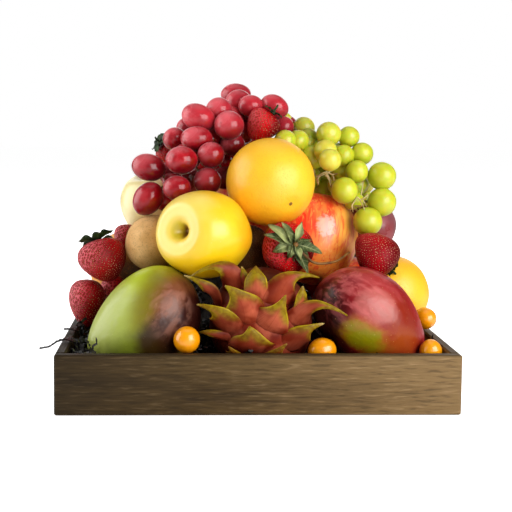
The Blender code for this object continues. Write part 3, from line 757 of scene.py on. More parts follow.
def kiwi_skin(name, light, deep):
    """Thin papery brown skin, a little wrinkled, with painted shade low on the right."""
    made, tree, shader = new_finish(name, 0.75, Specular_IOR_Level=0.2)
    own, seed = read(tree, "own"), read(tree, "seed", "Fac")
    wander = effect(tree, "mottle", "Mask", Place=own, Seed=seed, Scale=90.0)
    fleck = noise(tree, own, 800.0, 3.0, seed)
    colour = mixed(tree, wander, deep, light)
    # Painted shade low on the right.
    colour = painted(tree, colour, [((0.5, -0.5, -0.7), 0.3, 1.0, 0.5, shade(120, 74, 28))])
    colour = mixed(tree, spread(tree, fleck, 0.5, 0.68, 0.0, 0.3), colour, shade(112, 74, 30))
    height = part_of(tree, read(tree, "direction"), "Z")
    colour = mixed(tree, spread(tree, height, 0.985, 0.998), colour, shade(76, 46, 18))
    tree.links.new(colour, shader.inputs["Base Color"])
    relief(tree, shader, calc(tree, "ADD", fleck, wander), 0.0002)
    return made


kiwi_brown = kiwi_skin("kiwi_skin", shade(238, 192, 130), shade(218, 168, 104))
# A darker copy of the kiwi skin: painted shade for the kiwi deep in the middle of the heap.
kiwi_painted_shade = kiwi_skin("dark_kiwi_skin", shade(96, 62, 28), shade(70, 42, 16))
print("kiwi skins made, one light and one dark")

# %% [markdown]
# ## Growing the single fruits
#
# This table is the whole harvest: each fruit's node in the frame, its kind, skin and slot, and the
# turns in degrees about X, Y and Z that its solid was given. Places and sizes could be written down
# too, but they would go wrong when a solid moves, so they are measured from the frame. An orange also
# has a raised button at its stem end, and the yellow apple in front a narrow funnel in its hollow.

# %% Growing the single fruits
HARVEST = [
    ("mango_front_left", "mango", green_mango, "green_mango", (0, 45, 0)),
    ("mango_front_right", "mango", red_mango, "red_mango", (0, -51, 0)),
    ("mango_back_left", "mango", green_mango, "green_mango", (0, -55, 0)),
    ("mango_back_right", "mango", red_mango, "red_mango", (0, -55, 180)),
    ("yellow_apple", "apple", yellow_apple, "yellow_apple", (80, 0, -42)),
    ("striped_apple", "apple", striped_apple, "striped_apple", (-25, 10, 0)),
    ("pale_apple", "apple", pale_apple, "pale_apple", (10, -12, 0)),
    ("apple_side", "apple", striped_apple, "striped_apple", (0, 35, 10)),
    ("apple_back", "apple", yellow_apple, "yellow_apple", (-25, 10, 0)),
    ("apple_back_top", "apple", striped_apple, "striped_apple", (-30, 20, 0)),
    ("top_orange", "orange", orange_peel, "orange_peel", (116, 0, 25)),
    ("orange_right", "orange", orange_peel, "orange_peel", (60, 0, 140)),
    ("orange_left", "orange", shaded_orange_peel, "orange_peel", (0, -70, 20)),
    ("orange_back", "orange", orange_peel, "orange_peel", (-60, 0, 10)),
    ("orange_back_upper", "orange", orange_peel, "orange_peel", (-70, 0, 20)),
    ("plum_right", "plum", plum_purple, "plum_skin", (30, 40, 0)),
    ("plum_back", "plum", plum_purple, "plum_skin", (-40, 20, 0)),
    ("plum_middle", "plum", plum_purple, "plum_skin", (60, 0, 0)),
    ("kumquat_front_left", "kumquat", kumquat_peel, "kumquat_peel", (20, 0, 0)),
    ("kumquat_front_middle", "kumquat", kumquat_peel, "kumquat_peel", (0, 80, 0)),
    ("kumquat_front_right", "kumquat", kumquat_peel, "kumquat_peel", (15, 0, 0)),
    ("kumquat_on_rim", "kumquat", kumquat_peel, "kumquat_peel", (82, 0, 8)),
    ("kumquat_back_middle", "kumquat", kumquat_peel, "kumquat_peel", (70, 0, 40)),
    ("kumquat_side", "kumquat", kumquat_peel, "kumquat_peel", (85, 0, 5)),
]


def navel(unit, half):
    """A shallow dent round a small raised button at an orange's stem end."""
    polar = np.arccos(np.clip(unit[:, 2], -1, 1))
    return -0.03 * np.exp(-((polar / 0.16) ** 2)) + 0.016 * np.exp(-((polar / 0.035) ** 2))


def narrow_hollow(unit, half):
    """Fills an apple's wide stem hollow up to its rim, but for a narrow funnel in the middle."""
    polar = np.arccos(np.clip(unit[:, 2], -1, 1))
    height = 1.16 * np.cos(polar) + 0.03 - 0.42 * np.exp(-((polar / 0.40) ** 2))
    funnel = 0.95 - 0.36 * np.exp(-((polar / 0.16) ** 2))
    return np.where(polar < 0.5, (funnel - height) / np.maximum(height, 0.5), 0)


RELIEFS = {"orange": navel, "kumquat": navel}
for node, kind, finish, slot, turns in HARVEST:
    middle, half, turn = measure(node, kind, turns)
    shape = narrow_hollow if node == "yellow_apple" else RELIEFS.get(kind)
    piece = grown(node + "_skin", kind, middle, half, turn, node, finish, relief_of=shape)
    settle(piece, slot, node)
print(len(HARVEST), "fruits grown, the last", piece.name, "half sizes in mm", (half / MM).round(1))

# %% [markdown]
# ## Strawberries
#
# A strawberry's seeds sit in small dimples, evenly spread. Strewn by chance they would leave bare
# spots and pairs that touch, so they follow the spiral that sunflower seeds grow in, where each step
# turns by the golden angle. The skin is pressed in at each place, and Geometry Nodes plants one
# small seed there, its point towards the berry's tip. A second group strews copies over a whole
# skin, for the hairs of the kiwis and for the paper.

# %% Planting seeds with Geometry Nodes


def new_geometry_group(name, inputs):
    """A Geometry Nodes group with these named inputs, and the ends that its nodes join on to."""
    tree = bpy.data.node_groups.new(name, "GeometryNodeTree")
    for label, (kind, value) in inputs.items():
        socket = tree.interface.new_socket(name=label, in_out="INPUT", socket_type="NodeSocket" + kind)
        if value is not None:
            socket.default_value = value
    tree.interface.new_socket(name="Geometry", in_out="OUTPUT", socket_type="NodeSocketGeometry")
    return tree, tree.nodes.new("NodeGroupInput").outputs, tree.nodes.new("NodeGroupOutput").inputs


def copies(tree, given, points, rotation, out):
    """The common end of both groups: a copy on each point, made real and given its finish."""
    scale = put(tree, "FunctionNodeRandomValue", data_type="FLOAT")
    for number, label in ((2, "Smallest"), (3, "Largest"), (8, "Seed")):
        tree.links.new(given[label], scale.inputs[number])
    shape = put(tree, "GeometryNodeObjectInfo", {"Object": given["Shape"], "As Instance": True})
    placed = put(tree, "GeometryNodeInstanceOnPoints", {
        "Points": points, "Instance": shape.outputs["Geometry"],
        "Rotation": rotation, "Scale": scale.outputs[1]})
    real = put(tree, "GeometryNodeRealizeInstances", {0: placed.outputs[0]})
    done = put(tree, "GeometryNodeSetMaterial", {"Geometry": real.outputs[0], "Material": given["Finish"]})
    tree.links.new(done.outputs[0], out["Geometry"])


print("copies get a size by chance, are made real and take their finish")

# %% The groups that plant and strew


def plant_group():
    """A copy of a small shape on each given point, standing on the skin and pointing one way."""
    inputs = {"Geometry": ("Geometry", None), "Shape": ("Object", None), "Smallest": ("Float", 0.8),
              "Largest": ("Float", 1.2), "Seed": ("Int", 0), "Finish": ("Material", None)}
    tree, given, out = new_geometry_group("plant", inputs)
    out_of_skin = put(tree, "GeometryNodeInputNamedAttribute", {"Name": "outward"}, data_type="FLOAT_VECTOR")
    to_tip = put(tree, "GeometryNodeInputNamedAttribute", {"Name": "lengthwise"}, data_type="FLOAT_VECTOR")
    upright = put(tree, "FunctionNodeAlignRotationToVector", {"Vector": out_of_skin.outputs[0]}, axis="Z")
    pointed = put(tree, "FunctionNodeAlignRotationToVector",
                  {"Rotation": upright.outputs[0], "Vector": to_tip.outputs[0]}, axis="X", pivot_axis="Z")
    copies(tree, given, given["Geometry"], pointed.outputs[0], out)
    return tree


def strew_group():
    """Copies of a small shape spread over a skin, each leaning and turned by chance."""
    inputs = {"Geometry": ("Geometry", None), "Shape": ("Object", None),
              "Per square metre": ("Float", 10000.0), "Smallest": ("Float", 0.7),
              "Largest": ("Float", 1.3), "Lean": ("Float", 0.3), "Seed": ("Int", 0),
              "Finish": ("Material", None)}
    tree, given, out = new_geometry_group("strew", inputs)
    spots = put(tree, "GeometryNodeDistributePointsOnFaces", {
        "Mesh": given["Geometry"], "Density": given["Per square metre"], "Seed": given["Seed"]})
    lean = put(tree, "ShaderNodeCombineXYZ", {0: given["Lean"], 1: given["Lean"], 2: math.pi})
    back = put(tree, "ShaderNodeVectorMath", {0: lean.outputs[0], 3: -1.0}, operation="SCALE")
    chance = put(tree, "FunctionNodeRandomValue", data_type="FLOAT_VECTOR")
    for number, value in ((0, back.outputs[0]), (1, lean.outputs[0]), (8, given["Seed"])):
        tree.links.new(value, chance.inputs[number])
    turned = put(tree, "FunctionNodeRotateRotation", {
        "Rotation": spots.outputs["Rotation"], "Rotate By": chance.outputs[0]}, rotation_space="LOCAL")
    copies(tree, given, spots.outputs["Points"], turned.outputs[0], out)
    return tree


PLANT, STREW = plant_group(), strew_group()
print("geometry groups:", PLANT.name, "and", STREW.name)

# %% Running a group on a piece, and new pieces


def fit(piece, group, **values):
    """Runs a Geometry Nodes group on a piece and keeps the result as its mesh."""
    runs = piece.modifiers.new(group.name, "NODES")
    runs.node_group = group
    values = {label.replace("_", " "): value for label, value in values.items()}
    for socket in group.interface.items_tree:
        if socket.in_out == "INPUT" and socket.name in values:
            runs[socket.identifier] = values[socket.name]
    graph = bpy.context.evaluated_depsgraph_get()
    mesh = bpy.data.meshes.new_from_object(piece.evaluated_get(graph), depsgraph=graph)
    piece.modifiers.clear()
    piece.data = mesh
    mesh.name = piece.name
    return piece


def new_piece(name, points, faces, finish, smooth=True):
    """A piece from its points in metres and its faces, their outsides outwards."""
    mesh = bpy.data.meshes.new(name)
    mesh.from_pydata([tuple(point) for point in points], [], faces)
    shape = bmesh.new()
    shape.from_mesh(mesh)
    bmesh.ops.recalc_face_normals(shape, faces=shape.faces)
    shape.to_mesh(mesh)
    shape.free()
    mesh.materials.append(finish)
    if smooth:
        mesh.shade_smooth()
    made = bpy.data.objects.new(name, mesh)
    bpy.context.scene.collection.objects.link(made)
    return made


print("a group's result is kept as a plain mesh")

# %% [markdown]
# ## The strawberries themselves
#
# Each row is a berry's node, the turns of its solid, and its skin. One list of directions both
# presses the dimples and places the seeds, so every seed lies at the bottom of its dimple. A mesh
# this fine shows the dimples at the berry's outline too, which a bump could not do. Right at the
# stem no seeds are planted, because on a real berry the leaves sit there.

# %% Growing the strawberries
BERRIES = [
    ("strawberry_centre", (72, 0, 15), bright_red), ("strawberry_right", (134, 0, 100), deep_red),
    ("strawberry_upper_left", (35, 0, 217), rosy_red), ("strawberry_lower_left", (18, 0, 180), rosy_red),
    ("strawberry_top", (38, 0, 80), bright_red), ("strawberry_behind", (53, 0, -67), rosy_red),
    ("strawberry_small", (10, 0, 0), rosy_red), ("strawberry_low", (70, 0, 20), rosy_red),
    ("strawberry_back_left", (140, 0, 15), deep_red), ("strawberry_back_right", (150, 10, 0), deep_red),
    ("strawberry_back_top", (130, 0, 200), deep_red),
]
SEED_GAP = 2.7 * MM
DIMPLE_DEPTH = 0.45 * MM
DIMPLE_WIDTH = 0.8 * MM


def spiral(count):
    """Directions spread evenly over a sphere in a golden-angle spiral."""
    step = np.arange(count) + 0.5
    height = 1 - 2 * step / count
    around = step * math.pi * (3 - math.sqrt(5))
    level = np.sqrt(1 - height * height)
    return np.stack([level * np.cos(around), level * np.sin(around), height], axis=1)


def seed_spots(half):
    """The directions of a berry's seeds, by its size, each moved a little by chance."""
    spots = spiral(round(4 * math.pi * half.mean() ** 2 / (0.87 * SEED_GAP * SEED_GAP)))
    spots += np.random.default_rng(5).normal(0, 0.15 * SEED_GAP / half.mean(), spots.shape)
    return spots / np.linalg.norm(spots, axis=1)[:, None]


def dimple(unit, half):
    """How far into a dimple each direction is, from 0 to 1."""
    nearest = (unit @ seed_spots(half).T).max(1)
    return np.exp(-((np.arccos(np.clip(nearest, -1, 1)) * half.mean() / DIMPLE_WIDTH) ** 2))


def pressed(unit, half):
    """The skin pressed in at each seed."""
    return -dimple(unit, half) * DIMPLE_DEPTH / half.mean()


print("a berry 30 mm across has", len(seed_spots(np.full(3, 15 * MM))), "places for seeds")

# %% One seed and its finish
SEED_STEPS = (4, 6)


def seed_finish():
    """Straw-yellow seeds, some of them browner."""
    made, tree, shader = new_finish("strawberry_seed", 0.25, Coat_Weight=0.6, Coat_Roughness=0.15)
    place = place_of(tree)
    colour = mixed(tree, spread(tree, noise(tree, place, 190.0, 2.0), 0.4, 0.62),
                   shade(238, 180, 134), shade(176, 96, 60))
    tree.links.new(colour, shader.inputs["Base Color"])
    relief(tree, shader, noise(tree, place, 1500.0, 1.0), 0.00005)
    return made


def seed_shape():
    """One seed: a small drop, lying along X with its point forward. It isn't shown itself."""
    base, unit = sphere(SEED_STEPS)
    x, y, z = unit[:, 2], unit[:, 1], -unit[:, 0]
    thin = 1 - 0.35 * x
    mesh = base.copy()
    drop = np.stack([x * 0.55, y * 0.32 * thin, z * 0.26 * thin], axis=1) * MM
    mesh.vertices.foreach_set("co", drop.astype(np.float32).ravel())
    mesh.shade_smooth()
    return bpy.data.objects.new("seed", mesh)


strawberry_seed, one_seed = seed_finish(), seed_shape()
print("a seed has", len(one_seed.data.polygons), "faces")

# %% Each berry with its seeds
for node, turns, finish in BERRIES:
    middle, half, turn = measure(node, "strawberry", turns)
    berry = grown(node + "_skin", "strawberry", middle, half, turn, node, finish, 0.02, pressed)
    unit = sphere(FINE_STEPS["strawberry"])[1]
    store(berry.data, "dimple", dimple(unit, half))
    spots = seed_spots(half)
    spots = spots[spots[:, 2] < 0.9]
    own = form("strawberry", spots) * uneven(spots, 0.02, node)[:, None] * half
    own = own * (1 + pressed(spots, half))[:, None]
    out = own / half ** 2
    seeds = new_piece("seeds", own @ turn.T + middle, [], strawberry_seed)
    store(seeds.data, "outward", out @ turn.T)
    store(seeds.data, "lengthwise", np.tile(turn @ (0, 0, -1.0), (len(spots), 1)))
    fit(seeds, PLANT, Shape=one_seed, Smallest=0.75, Largest=1.1, Seed=3, Finish=strawberry_seed)
    settle(joined(berry.name, [berry, seeds]), "strawberry_red", node)
print(len(BERRIES), "strawberries,", len(spots), "seeds on the last")

# %% [markdown]
# ## Kiwis
#
# A kiwi's skin is covered in short stiff hairs. Blender's own hair would be lost when the model is
# exported, as only meshes are kept. Here they are made as a mesh: the second geometry group strews
# one thin three-sided spike over the skin, with a lean and a size by seeded chance, and makes every
# copy real.

# %% Kiwis
KIWIS = [("kiwi_left", (60, 0, 20), kiwi_brown), ("kiwi_middle", (20, 10, 0), kiwi_painted_shade),
         ("kiwi_back", (90, 0, 8), kiwi_brown)]


def hair_finish():
    """Golden-brown hair."""
    made, tree, shader = new_finish("kiwi_hair", 0.6)
    place = place_of(tree)
    colour = mixed(tree, noise(tree, place, 160.0, 2.0), shade(186, 138, 82), shade(236, 194, 132))
    tree.links.new(colour, shader.inputs["Base Color"])
    return made


hair = new_piece("hair", [(0.07 * MM, 0, 0), (-0.04 * MM, 0.06 * MM, 0), (-0.04 * MM, -0.06 * MM, 0),
                          (0.3 * MM, 0, 1.1 * MM)],
                 [(0, 1, 3), (1, 2, 3), (2, 0, 3), (0, 2, 1)], hair_finish())
bpy.context.scene.collection.objects.unlink(hair)
for node, turns, finish in KIWIS:
    middle, half, turn = measure(node, "kiwi", turns)
    fruit = grown(node + "_skin", "kiwi", middle, half, turn, node, finish, 0.02)
    fuzz = fruit.copy()
    fuzz.data = fruit.data.copy()
    bpy.context.scene.collection.objects.link(fuzz)
    fit(fuzz, STREW, Shape=hair, Per_square_metre=450000.0, Smallest=0.5, Largest=1.2, Lean=0.9, Seed=7,
        Finish=hair.data.materials[0])
    hairs = len(fuzz.data.vertices) // 4
    settle(joined(fruit.name, [fruit, fuzz]), "kiwi_skin", node)
print(len(KIWIS), "kiwis,", hairs, "hairs on the last")

# %% [markdown]
# ## Long thin things
#
# Leaves, scales, stems, twigs and paper strips are one kind of shape: a ring carried along a path. A
# curve with a bevel makes the round ones, but not the leaves, which are wide, thin and folded. This
# loft makes all of them. Its ring is a flat oval, whose width and depth change on the way, and it
# can be folded along its middle or ruffled at its edges. Each point keeps how far along and across
# it is, for the finish to read.

# %% Long thin things
ROD_SIDES = 8


def smooth_path(spots, count):
    """Points spread along a smooth curve that passes through these spots."""
    spots = [Vector(spot) for spot in spots]
    spots = [spots[0] * 2 - spots[1], *spots, spots[-1] * 2 - spots[-2]]
    path = []
    for step in range(count):
        t = step / (count - 1) * (len(spots) - 3)
        index = min(int(t), len(spots) - 4)
        a, b, c, d = spots[index:index + 4]
        t -= index
        path.append((b * 2 + (c - a) * t + (a * 2 - b * 5 + c * 4 - d) * t * t
                     + (b * 3 - a - c * 3 + d) * t ** 3) / 2)
    return path


def loft(path, widths, depths, front, sides, fold=0.0, ruffle=0.0, phase=0.0):
    """A closed shape along a path in mm: its points, faces, and how far along and across each is."""
    last = len(path) - 1
    points, along, across = [], [], []
    fit_sides = 1 / math.cos(math.pi / sides)
    for row, spot in enumerate(path):
        ahead = path[min(row + 1, last)] - path[max(row - 1, 0)]
        side = ahead.cross(front).normalized()
        out = side.cross(ahead).normalized()
        for column in range(sides):
            angle = 2 * math.pi * (column + 0.5) / sides
            place = math.cos(angle) * fit_sides
            wave = ruffle * place * abs(place) * math.sin(phase + 8 * row / last)
            bend = fold * (0.5 - place * place) + wave
            lift = depths[row] * math.sin(angle) * fit_sides + bend * widths[row]
            points.append(spot + side * widths[row] * place + out * lift)
            along.append(row / last)
            across.append(place)
    faces = [[row * sides + column, row * sides + (column + 1) % sides,
              (row + 1) * sides + (column + 1) % sides, (row + 1) * sides + column]
             for row in range(last) for column in range(sides)]
    faces += [list(range(sides)), list(range(last * sides, (last + 1) * sides))]
    return points, faces, along, across


print("a loft through 3 rings of 4 sides has", len(loft([Vector((0, 0, row)) for row in range(3)], [1] * 3,
                                                     [1] * 3, Vector((0, 1, 0)), 4)[1]), "faces")

# %% Many lofts as one piece, rods and dry skins


def gathered(name, lofts, finish, smooth=True):
    """Several long thin shapes as one piece."""
    points, faces, along, across, tint = [], [], [], [], []
    draw = random.Random(name)
    for spots, sides, lengths, widths in lofts:
        start = len(points)
        points += [spot * MM for spot in spots]
        faces += [[start + index for index in face] for face in sides]
        along += lengths
        across += widths
        tint += [draw.random()] * len(spots)
    made = new_piece(name, points, faces, finish, smooth)
    for label, values in (("along", along), ("across", across), ("seed", tint)):
        store(made.data, label, values)
    return made


def rod(spots, radius, tip_radius, count):
    """A round stem or twig through these spots, in mm, with this many rings."""
    radii = np.linspace(radius, tip_radius, count)
    return loft(smooth_path(spots, count), radii, radii, Vector((0.1, -0.3, 1)), ROD_SIDES)


def twig_finish(name, light, deep):
    """The dry skin of a twig or a stem."""
    made, tree, shader = new_finish(name, 0.6)
    place = place_of(tree)
    cloud = noise(tree, place, 140.0, 4.0)
    tree.links.new(mixed(tree, spread(tree, cloud, 0.35, 0.65), light, deep), shader.inputs["Base Color"])
    relief(tree, shader, cloud, 0.0004)
    return made


sample = rod([(0, 0, 0), (0, 0, 10)], 1, 1, 2)
print("a straight rod has", len(sample[0]), "points and", len(sample[1]), "faces")

# %% [markdown]
# ## Leaves and stems of the strawberries
#
# The leaves round a strawberry's stem are pointed and a little leathery. Each starts at the stem,
# runs outwards and then droops. Flat cards with a picture of a leaf would vanish when seen from the
# side, so each leaf is a thin closed loft. A lighter vein runs along the middle, painted shade darkens
# the root and one edge of each leaf, and old tips turn brown. Four berries have their leaves spread
# evenly by rule. The berry in front has a table of its own, in millimetres, because the photo shows
# each of its leaves.

# %% Leaves and stems of the strawberries
LEAVES = [("strawberry_right", 5, 10, 3), ("strawberry_upper_left", 6, 24, 5.2),
          ("strawberry_top", 4, 10, 2.6), ("strawberry_behind", 5, 13, 4.6)]
BIG_LEAVES = [
    (-23, 16, 2, 7, 5, 0.4), (-11, 18, 6, 6, 4.6, 1.6), (6, 19, 2, 8, 3.8, 2.2),
    (-27, 8, 0, 6, 4.4, 0.1), (-19, -7, 0, 7, 5.2, 0.3), (-6, -12, -4, 6, 4.4, 0.2),
    (-8, -22, 4, 6, 3.4, 1.4), (2, -25, 6, 5, 3.4, 1.8), (12, -27, 2, 8, 5.2, 0.5),
    (23, -8, 0, 7, 5, 0.2), (14, 3, 2, 6, 3, 1.5), (5, -14, -3, 7, 3, 2.6),
]
LONG_STEM = [(42.1, -98, 118.6), (52.1, -100, 111.7), (70.1, -88, 111.7), (85, -69, 116.8)]
LEAF_HALF_DEPTH = 0.4
LEAF_SIDES = 12
LEAF_STEPS = 15


def leaf_finish(name, fresh, old, vein, tip, fold):
    """A leaf: two greens, a paler middle vein with faint side veins, a dry tip, and painted shade at
    its root and along one edge."""
    made, tree, shader = new_finish(name, 0.6, Specular_IOR_Level=0.3)
    place = place_of(tree)
    along, across, tint = (read(tree, label, "Fac") for label in ("along", "across", "seed"))
    cloud = noise(tree, place, 110.0, 3.0)
    aged = calc(tree, "ADD", cloud, calc(tree, "MULTIPLY", tint, 0.6))
    colour = mixed(tree, spread(tree, aged, 0.5, 1.05), fresh, old)
    beside = calc(tree, "ABSOLUTE", across)
    slant = calc(tree, "SUBTRACT", calc(tree, "MULTIPLY", along, 46.0), calc(tree, "MULTIPLY", beside, 5.0))
    side_vein = spread(tree, calc(tree, "SINE", slant), 0.5, 1.0, 0.0, 0.2)
    veins = calc(tree, "MAXIMUM", spread(tree, beside, 0.16, 0.02, 0.0, 0.5), side_vein)
    colour = mixed(tree, veins, colour, vein)
    # Painted shade at the root, where the leaves crowd, and along one edge.
    root, edge = spread(tree, along, 0.42, 0.06, 0.0, 0.8), spread(tree, across, 0.1, 0.8, 0.0, 0.6)
    colour = mixed(tree, calc(tree, "MAXIMUM", root, edge), colour, fold)
    ragged = calc(tree, "ADD", along, calc(tree, "MULTIPLY", cloud, 0.3))
    colour = mixed(tree, spread(tree, ragged, 0.95, 1.25), colour, tip)
    tree.links.new(colour, shader.inputs["Base Color"])
    relief(tree, shader, calc(tree, "SUBTRACT", calc(tree, "MULTIPLY", cloud, 0.6), veins), 0.0003)
    return made


print(len(BIG_LEAVES), "leaves are in the table for the berry in front")

# %% The shapes of the leaves


def calyx(berry):
    """Where a berry's leaves start, in mm, as a function of a place seen from above its stem end."""
    middle, half, turn = measure(berry, "strawberry", {row[0]: row[1] for row in BERRIES}[berry])
    top = half[2] / MM * 0.93
    return lambda x, y, z: Vector(middle / MM + turn @ (x, y, top + z))


def leaf_width(half_width, t):
    """A leaf's half width, t of the way from its root to its tip."""
    return half_width * max(0.22 * (1 - t), 0.03, math.sin(math.pi * t ** 0.75) ** 0.8)


def leaf_depth(t):
    """A leaf's half thickness there."""
    return LEAF_HALF_DEPTH * (1.1 - t * 0.8)


def round_leaves(berry, leaves, length, half_width):
    """The leaves of one strawberry, spread evenly round its short stem."""
    spot = calyx(berry)
    draw = random.Random(berry)
    lofts = [rod([spot(0, 0, 0), spot(0, 0, 3.4)], 2.8, 1.6, 4),
             rod([spot(0, 0, 1), spot(0.6, 0, 6), spot(2.4, 0.6, 9)], 1.1, 0.85, 16)]
    for leaf in range(leaves):
        angle = 2 * math.pi * (leaf + draw.uniform(-0.2, 0.2)) / leaves
        reach = length * draw.uniform(0.82, 1.05)
        rise = draw.uniform(0.1, 0.5)
        path, widths, depths = [], [], []
        for t in np.linspace(0, 1, LEAF_STEPS):
            out, up = 2 + reach * t * (1 - 0.16 * t), 2 + reach * t * (rise - 0.35 * t)
            sway = angle + 0.16 * math.sin(leaf * 2.1) * t * t
            path.append(spot(out * math.cos(sway), out * math.sin(sway), up))
            widths.append(leaf_width(half_width, t))
            depths.append(leaf_depth(t))
        front = spot(0, 0, 1) - spot(0, 0, 0)
        lofts.append(loft(path, widths, depths, front, LEAF_SIDES, -0.35, 0.30, leaf * 1.7))
    return lofts


def big_leaf(start, row, number):
    """One leaf of the berry in front: its tip to the side, up and back from the start, how far it
    bulges to the front, its half width and how it is rolled."""
    side, up, back, bulge, half_width, roll = row
    bend = start + Vector((side * 0.45, -bulge, up * 0.45 + 3))
    tip = start + Vector((side, back, up))
    steps = np.linspace(0, 1, LEAF_STEPS)
    path = [start * (1 - t) ** 2 + bend * 2 * t * (1 - t) + tip * t * t for t in steps]
    for step, t in enumerate(steps):
        path[step].y -= 2.2 * math.sin(math.pi * 1.6 * t + number) * t
    front = Vector((math.sin(roll) * 0.8, -1, math.cos(roll * 2.3) * 0.5))
    widths, depths = [leaf_width(half_width, t) for t in steps], [leaf_depth(t) for t in steps]
    return loft(path, widths, depths, front, LEAF_SIDES, -0.55, 0.35, number * 1.7)


print("half way out, a leaf has", round(leaf_width(1, 0.5), 2), "of its full half width")

# %% Growing the leaves
# Each leaf finish ends with the colour of its painted shade.
sage_leaf = leaf_finish("sage_leaf", shade(160, 168, 104), shade(64, 80, 36), shade(184, 186, 130),
                        shade(120, 96, 44), shade(40, 54, 20))
dark_leaf = leaf_finish("dark_leaf", shade(42, 68, 22), shade(20, 38, 10), shade(84, 104, 50),
                        shade(62, 62, 24), shade(18, 32, 10))
stem_brown = twig_finish("dry_stem", shade(134, 92, 36), shade(84, 52, 16))
start = calyx("strawberry_centre")(0, 0, 2)
leaves = [big_leaf(start, row, number) for number, row in enumerate(BIG_LEAVES)]
greens = gathered("strawberry_centre_greens", leaves, sage_leaf)
settle(greens, "leaf_green", "strawberry_centre_leaves")
stem = [rod([start + Vector((0, 3, -1)), start + Vector((0.5, -3, 0))], 2.8, 2.0, 4),
        rod([start, *LONG_STEM], 1.1, 0.9, 18)]
settle(gathered("strawberry_centre_stem", stem, stem_brown), "leaf_green")
for berry, *leaf_sizes in LEAVES:
    greens = gathered(berry + "_greens", round_leaves(berry, *leaf_sizes), dark_leaf)
    settle(greens, "leaf_green", berry + "_leaves")
print(len(LEAVES) + 1, "strawberries have leaves,", len(BIG_LEAVES), "of them on the berry in front")

# %% [markdown]
# ## The dragon fruit
#
# A dragon fruit's scales are broad and fleshy at the root and thin and dry at the tip. They could be
# copies of one scale, but on a real fruit each curls its own way. So each is a loft that bends
# outwards, from a root that is sunk into the body. The table gives, in millimetres, where the root
# is as seen from the front, the point that the scale bends towards, its tip and its half widths. The
# body is salmon red, and the scales turn olive at their edges.

# %% The dragon fruit
DRAGON_MIDDLE = Vector((6, -100, 61.7))
DRAGON_HALF = Vector((43.1, 44, 45.7))
ROOT_SUNK = 4
SCALE_SIDES = 18
SCALE_STEPS = 18
SCALES = [
    ((-16.2, 92.4), (-23.4, -136, 127.4), (-54, -127, 104.3), (12, 8, 2.8)),
    ((-31, 80.4), (-37.1, -140, 100.4), (-58.9, -126, 105.3), (10, 7, 2.8)),
    ((-10, 70.4), (-11.2, -154, 92.5), (-27.1, -152, 101.4), (19, 15, 6)),
    ((-1.2, 86.5), (-2.4, -146, 102.5), (-1.5, -134, 114.5), (10, 9.5, 8)),
    ((-10.2, 95.5), (-10.4, -132, 105.5), (-12.4, -124, 112.4), (4, 4, 3)),
    ((16.7, 83.5), (18.3, -146, 116.5), (50.3, -131, 104.6), (17, 10, 3.2)),
    ((7, 66.4), (14.8, -158, 80.5), (20.6, -154, 94.5), (19, 13, 5)),
    ((33.8, 74.5), (34.6, -146, 86.5), (35.4, -142, 99.6), (8, 7, 5)),
    ((29.9, 66.4), (40.5, -150, 97.6), (70.8, -146, 76.5), (13, 7, 2.6)),
    ((-24.8, 60.3), (-25, -154, 82.4), (-48.8, -141, 84.4), (17, 12, 4)),
    ((-4.8, 45.2), (-4.9, -160, 59.3), (-8, -157, 70.4), (20, 17, 8)),
    ((28.2, 47.2), (32.9, -154, 67.4), (52.9, -142, 69.4), (16, 11, 4)),
    ((-20.8, 54.2), (-36.8, -142, 62.3), (-46.7, -129, 59.3), (5, 4, 2.5)),
    ((-18, 36), (-18, -156, 48), (-24, -152, 53), (9, 8, 3)),
    ((10, 36), (12, -158, 48), (22, -155, 56), (12, 9, 3)),
]


print(len(SCALES), "scales are in the table")

# %% Skin of the dragon fruit


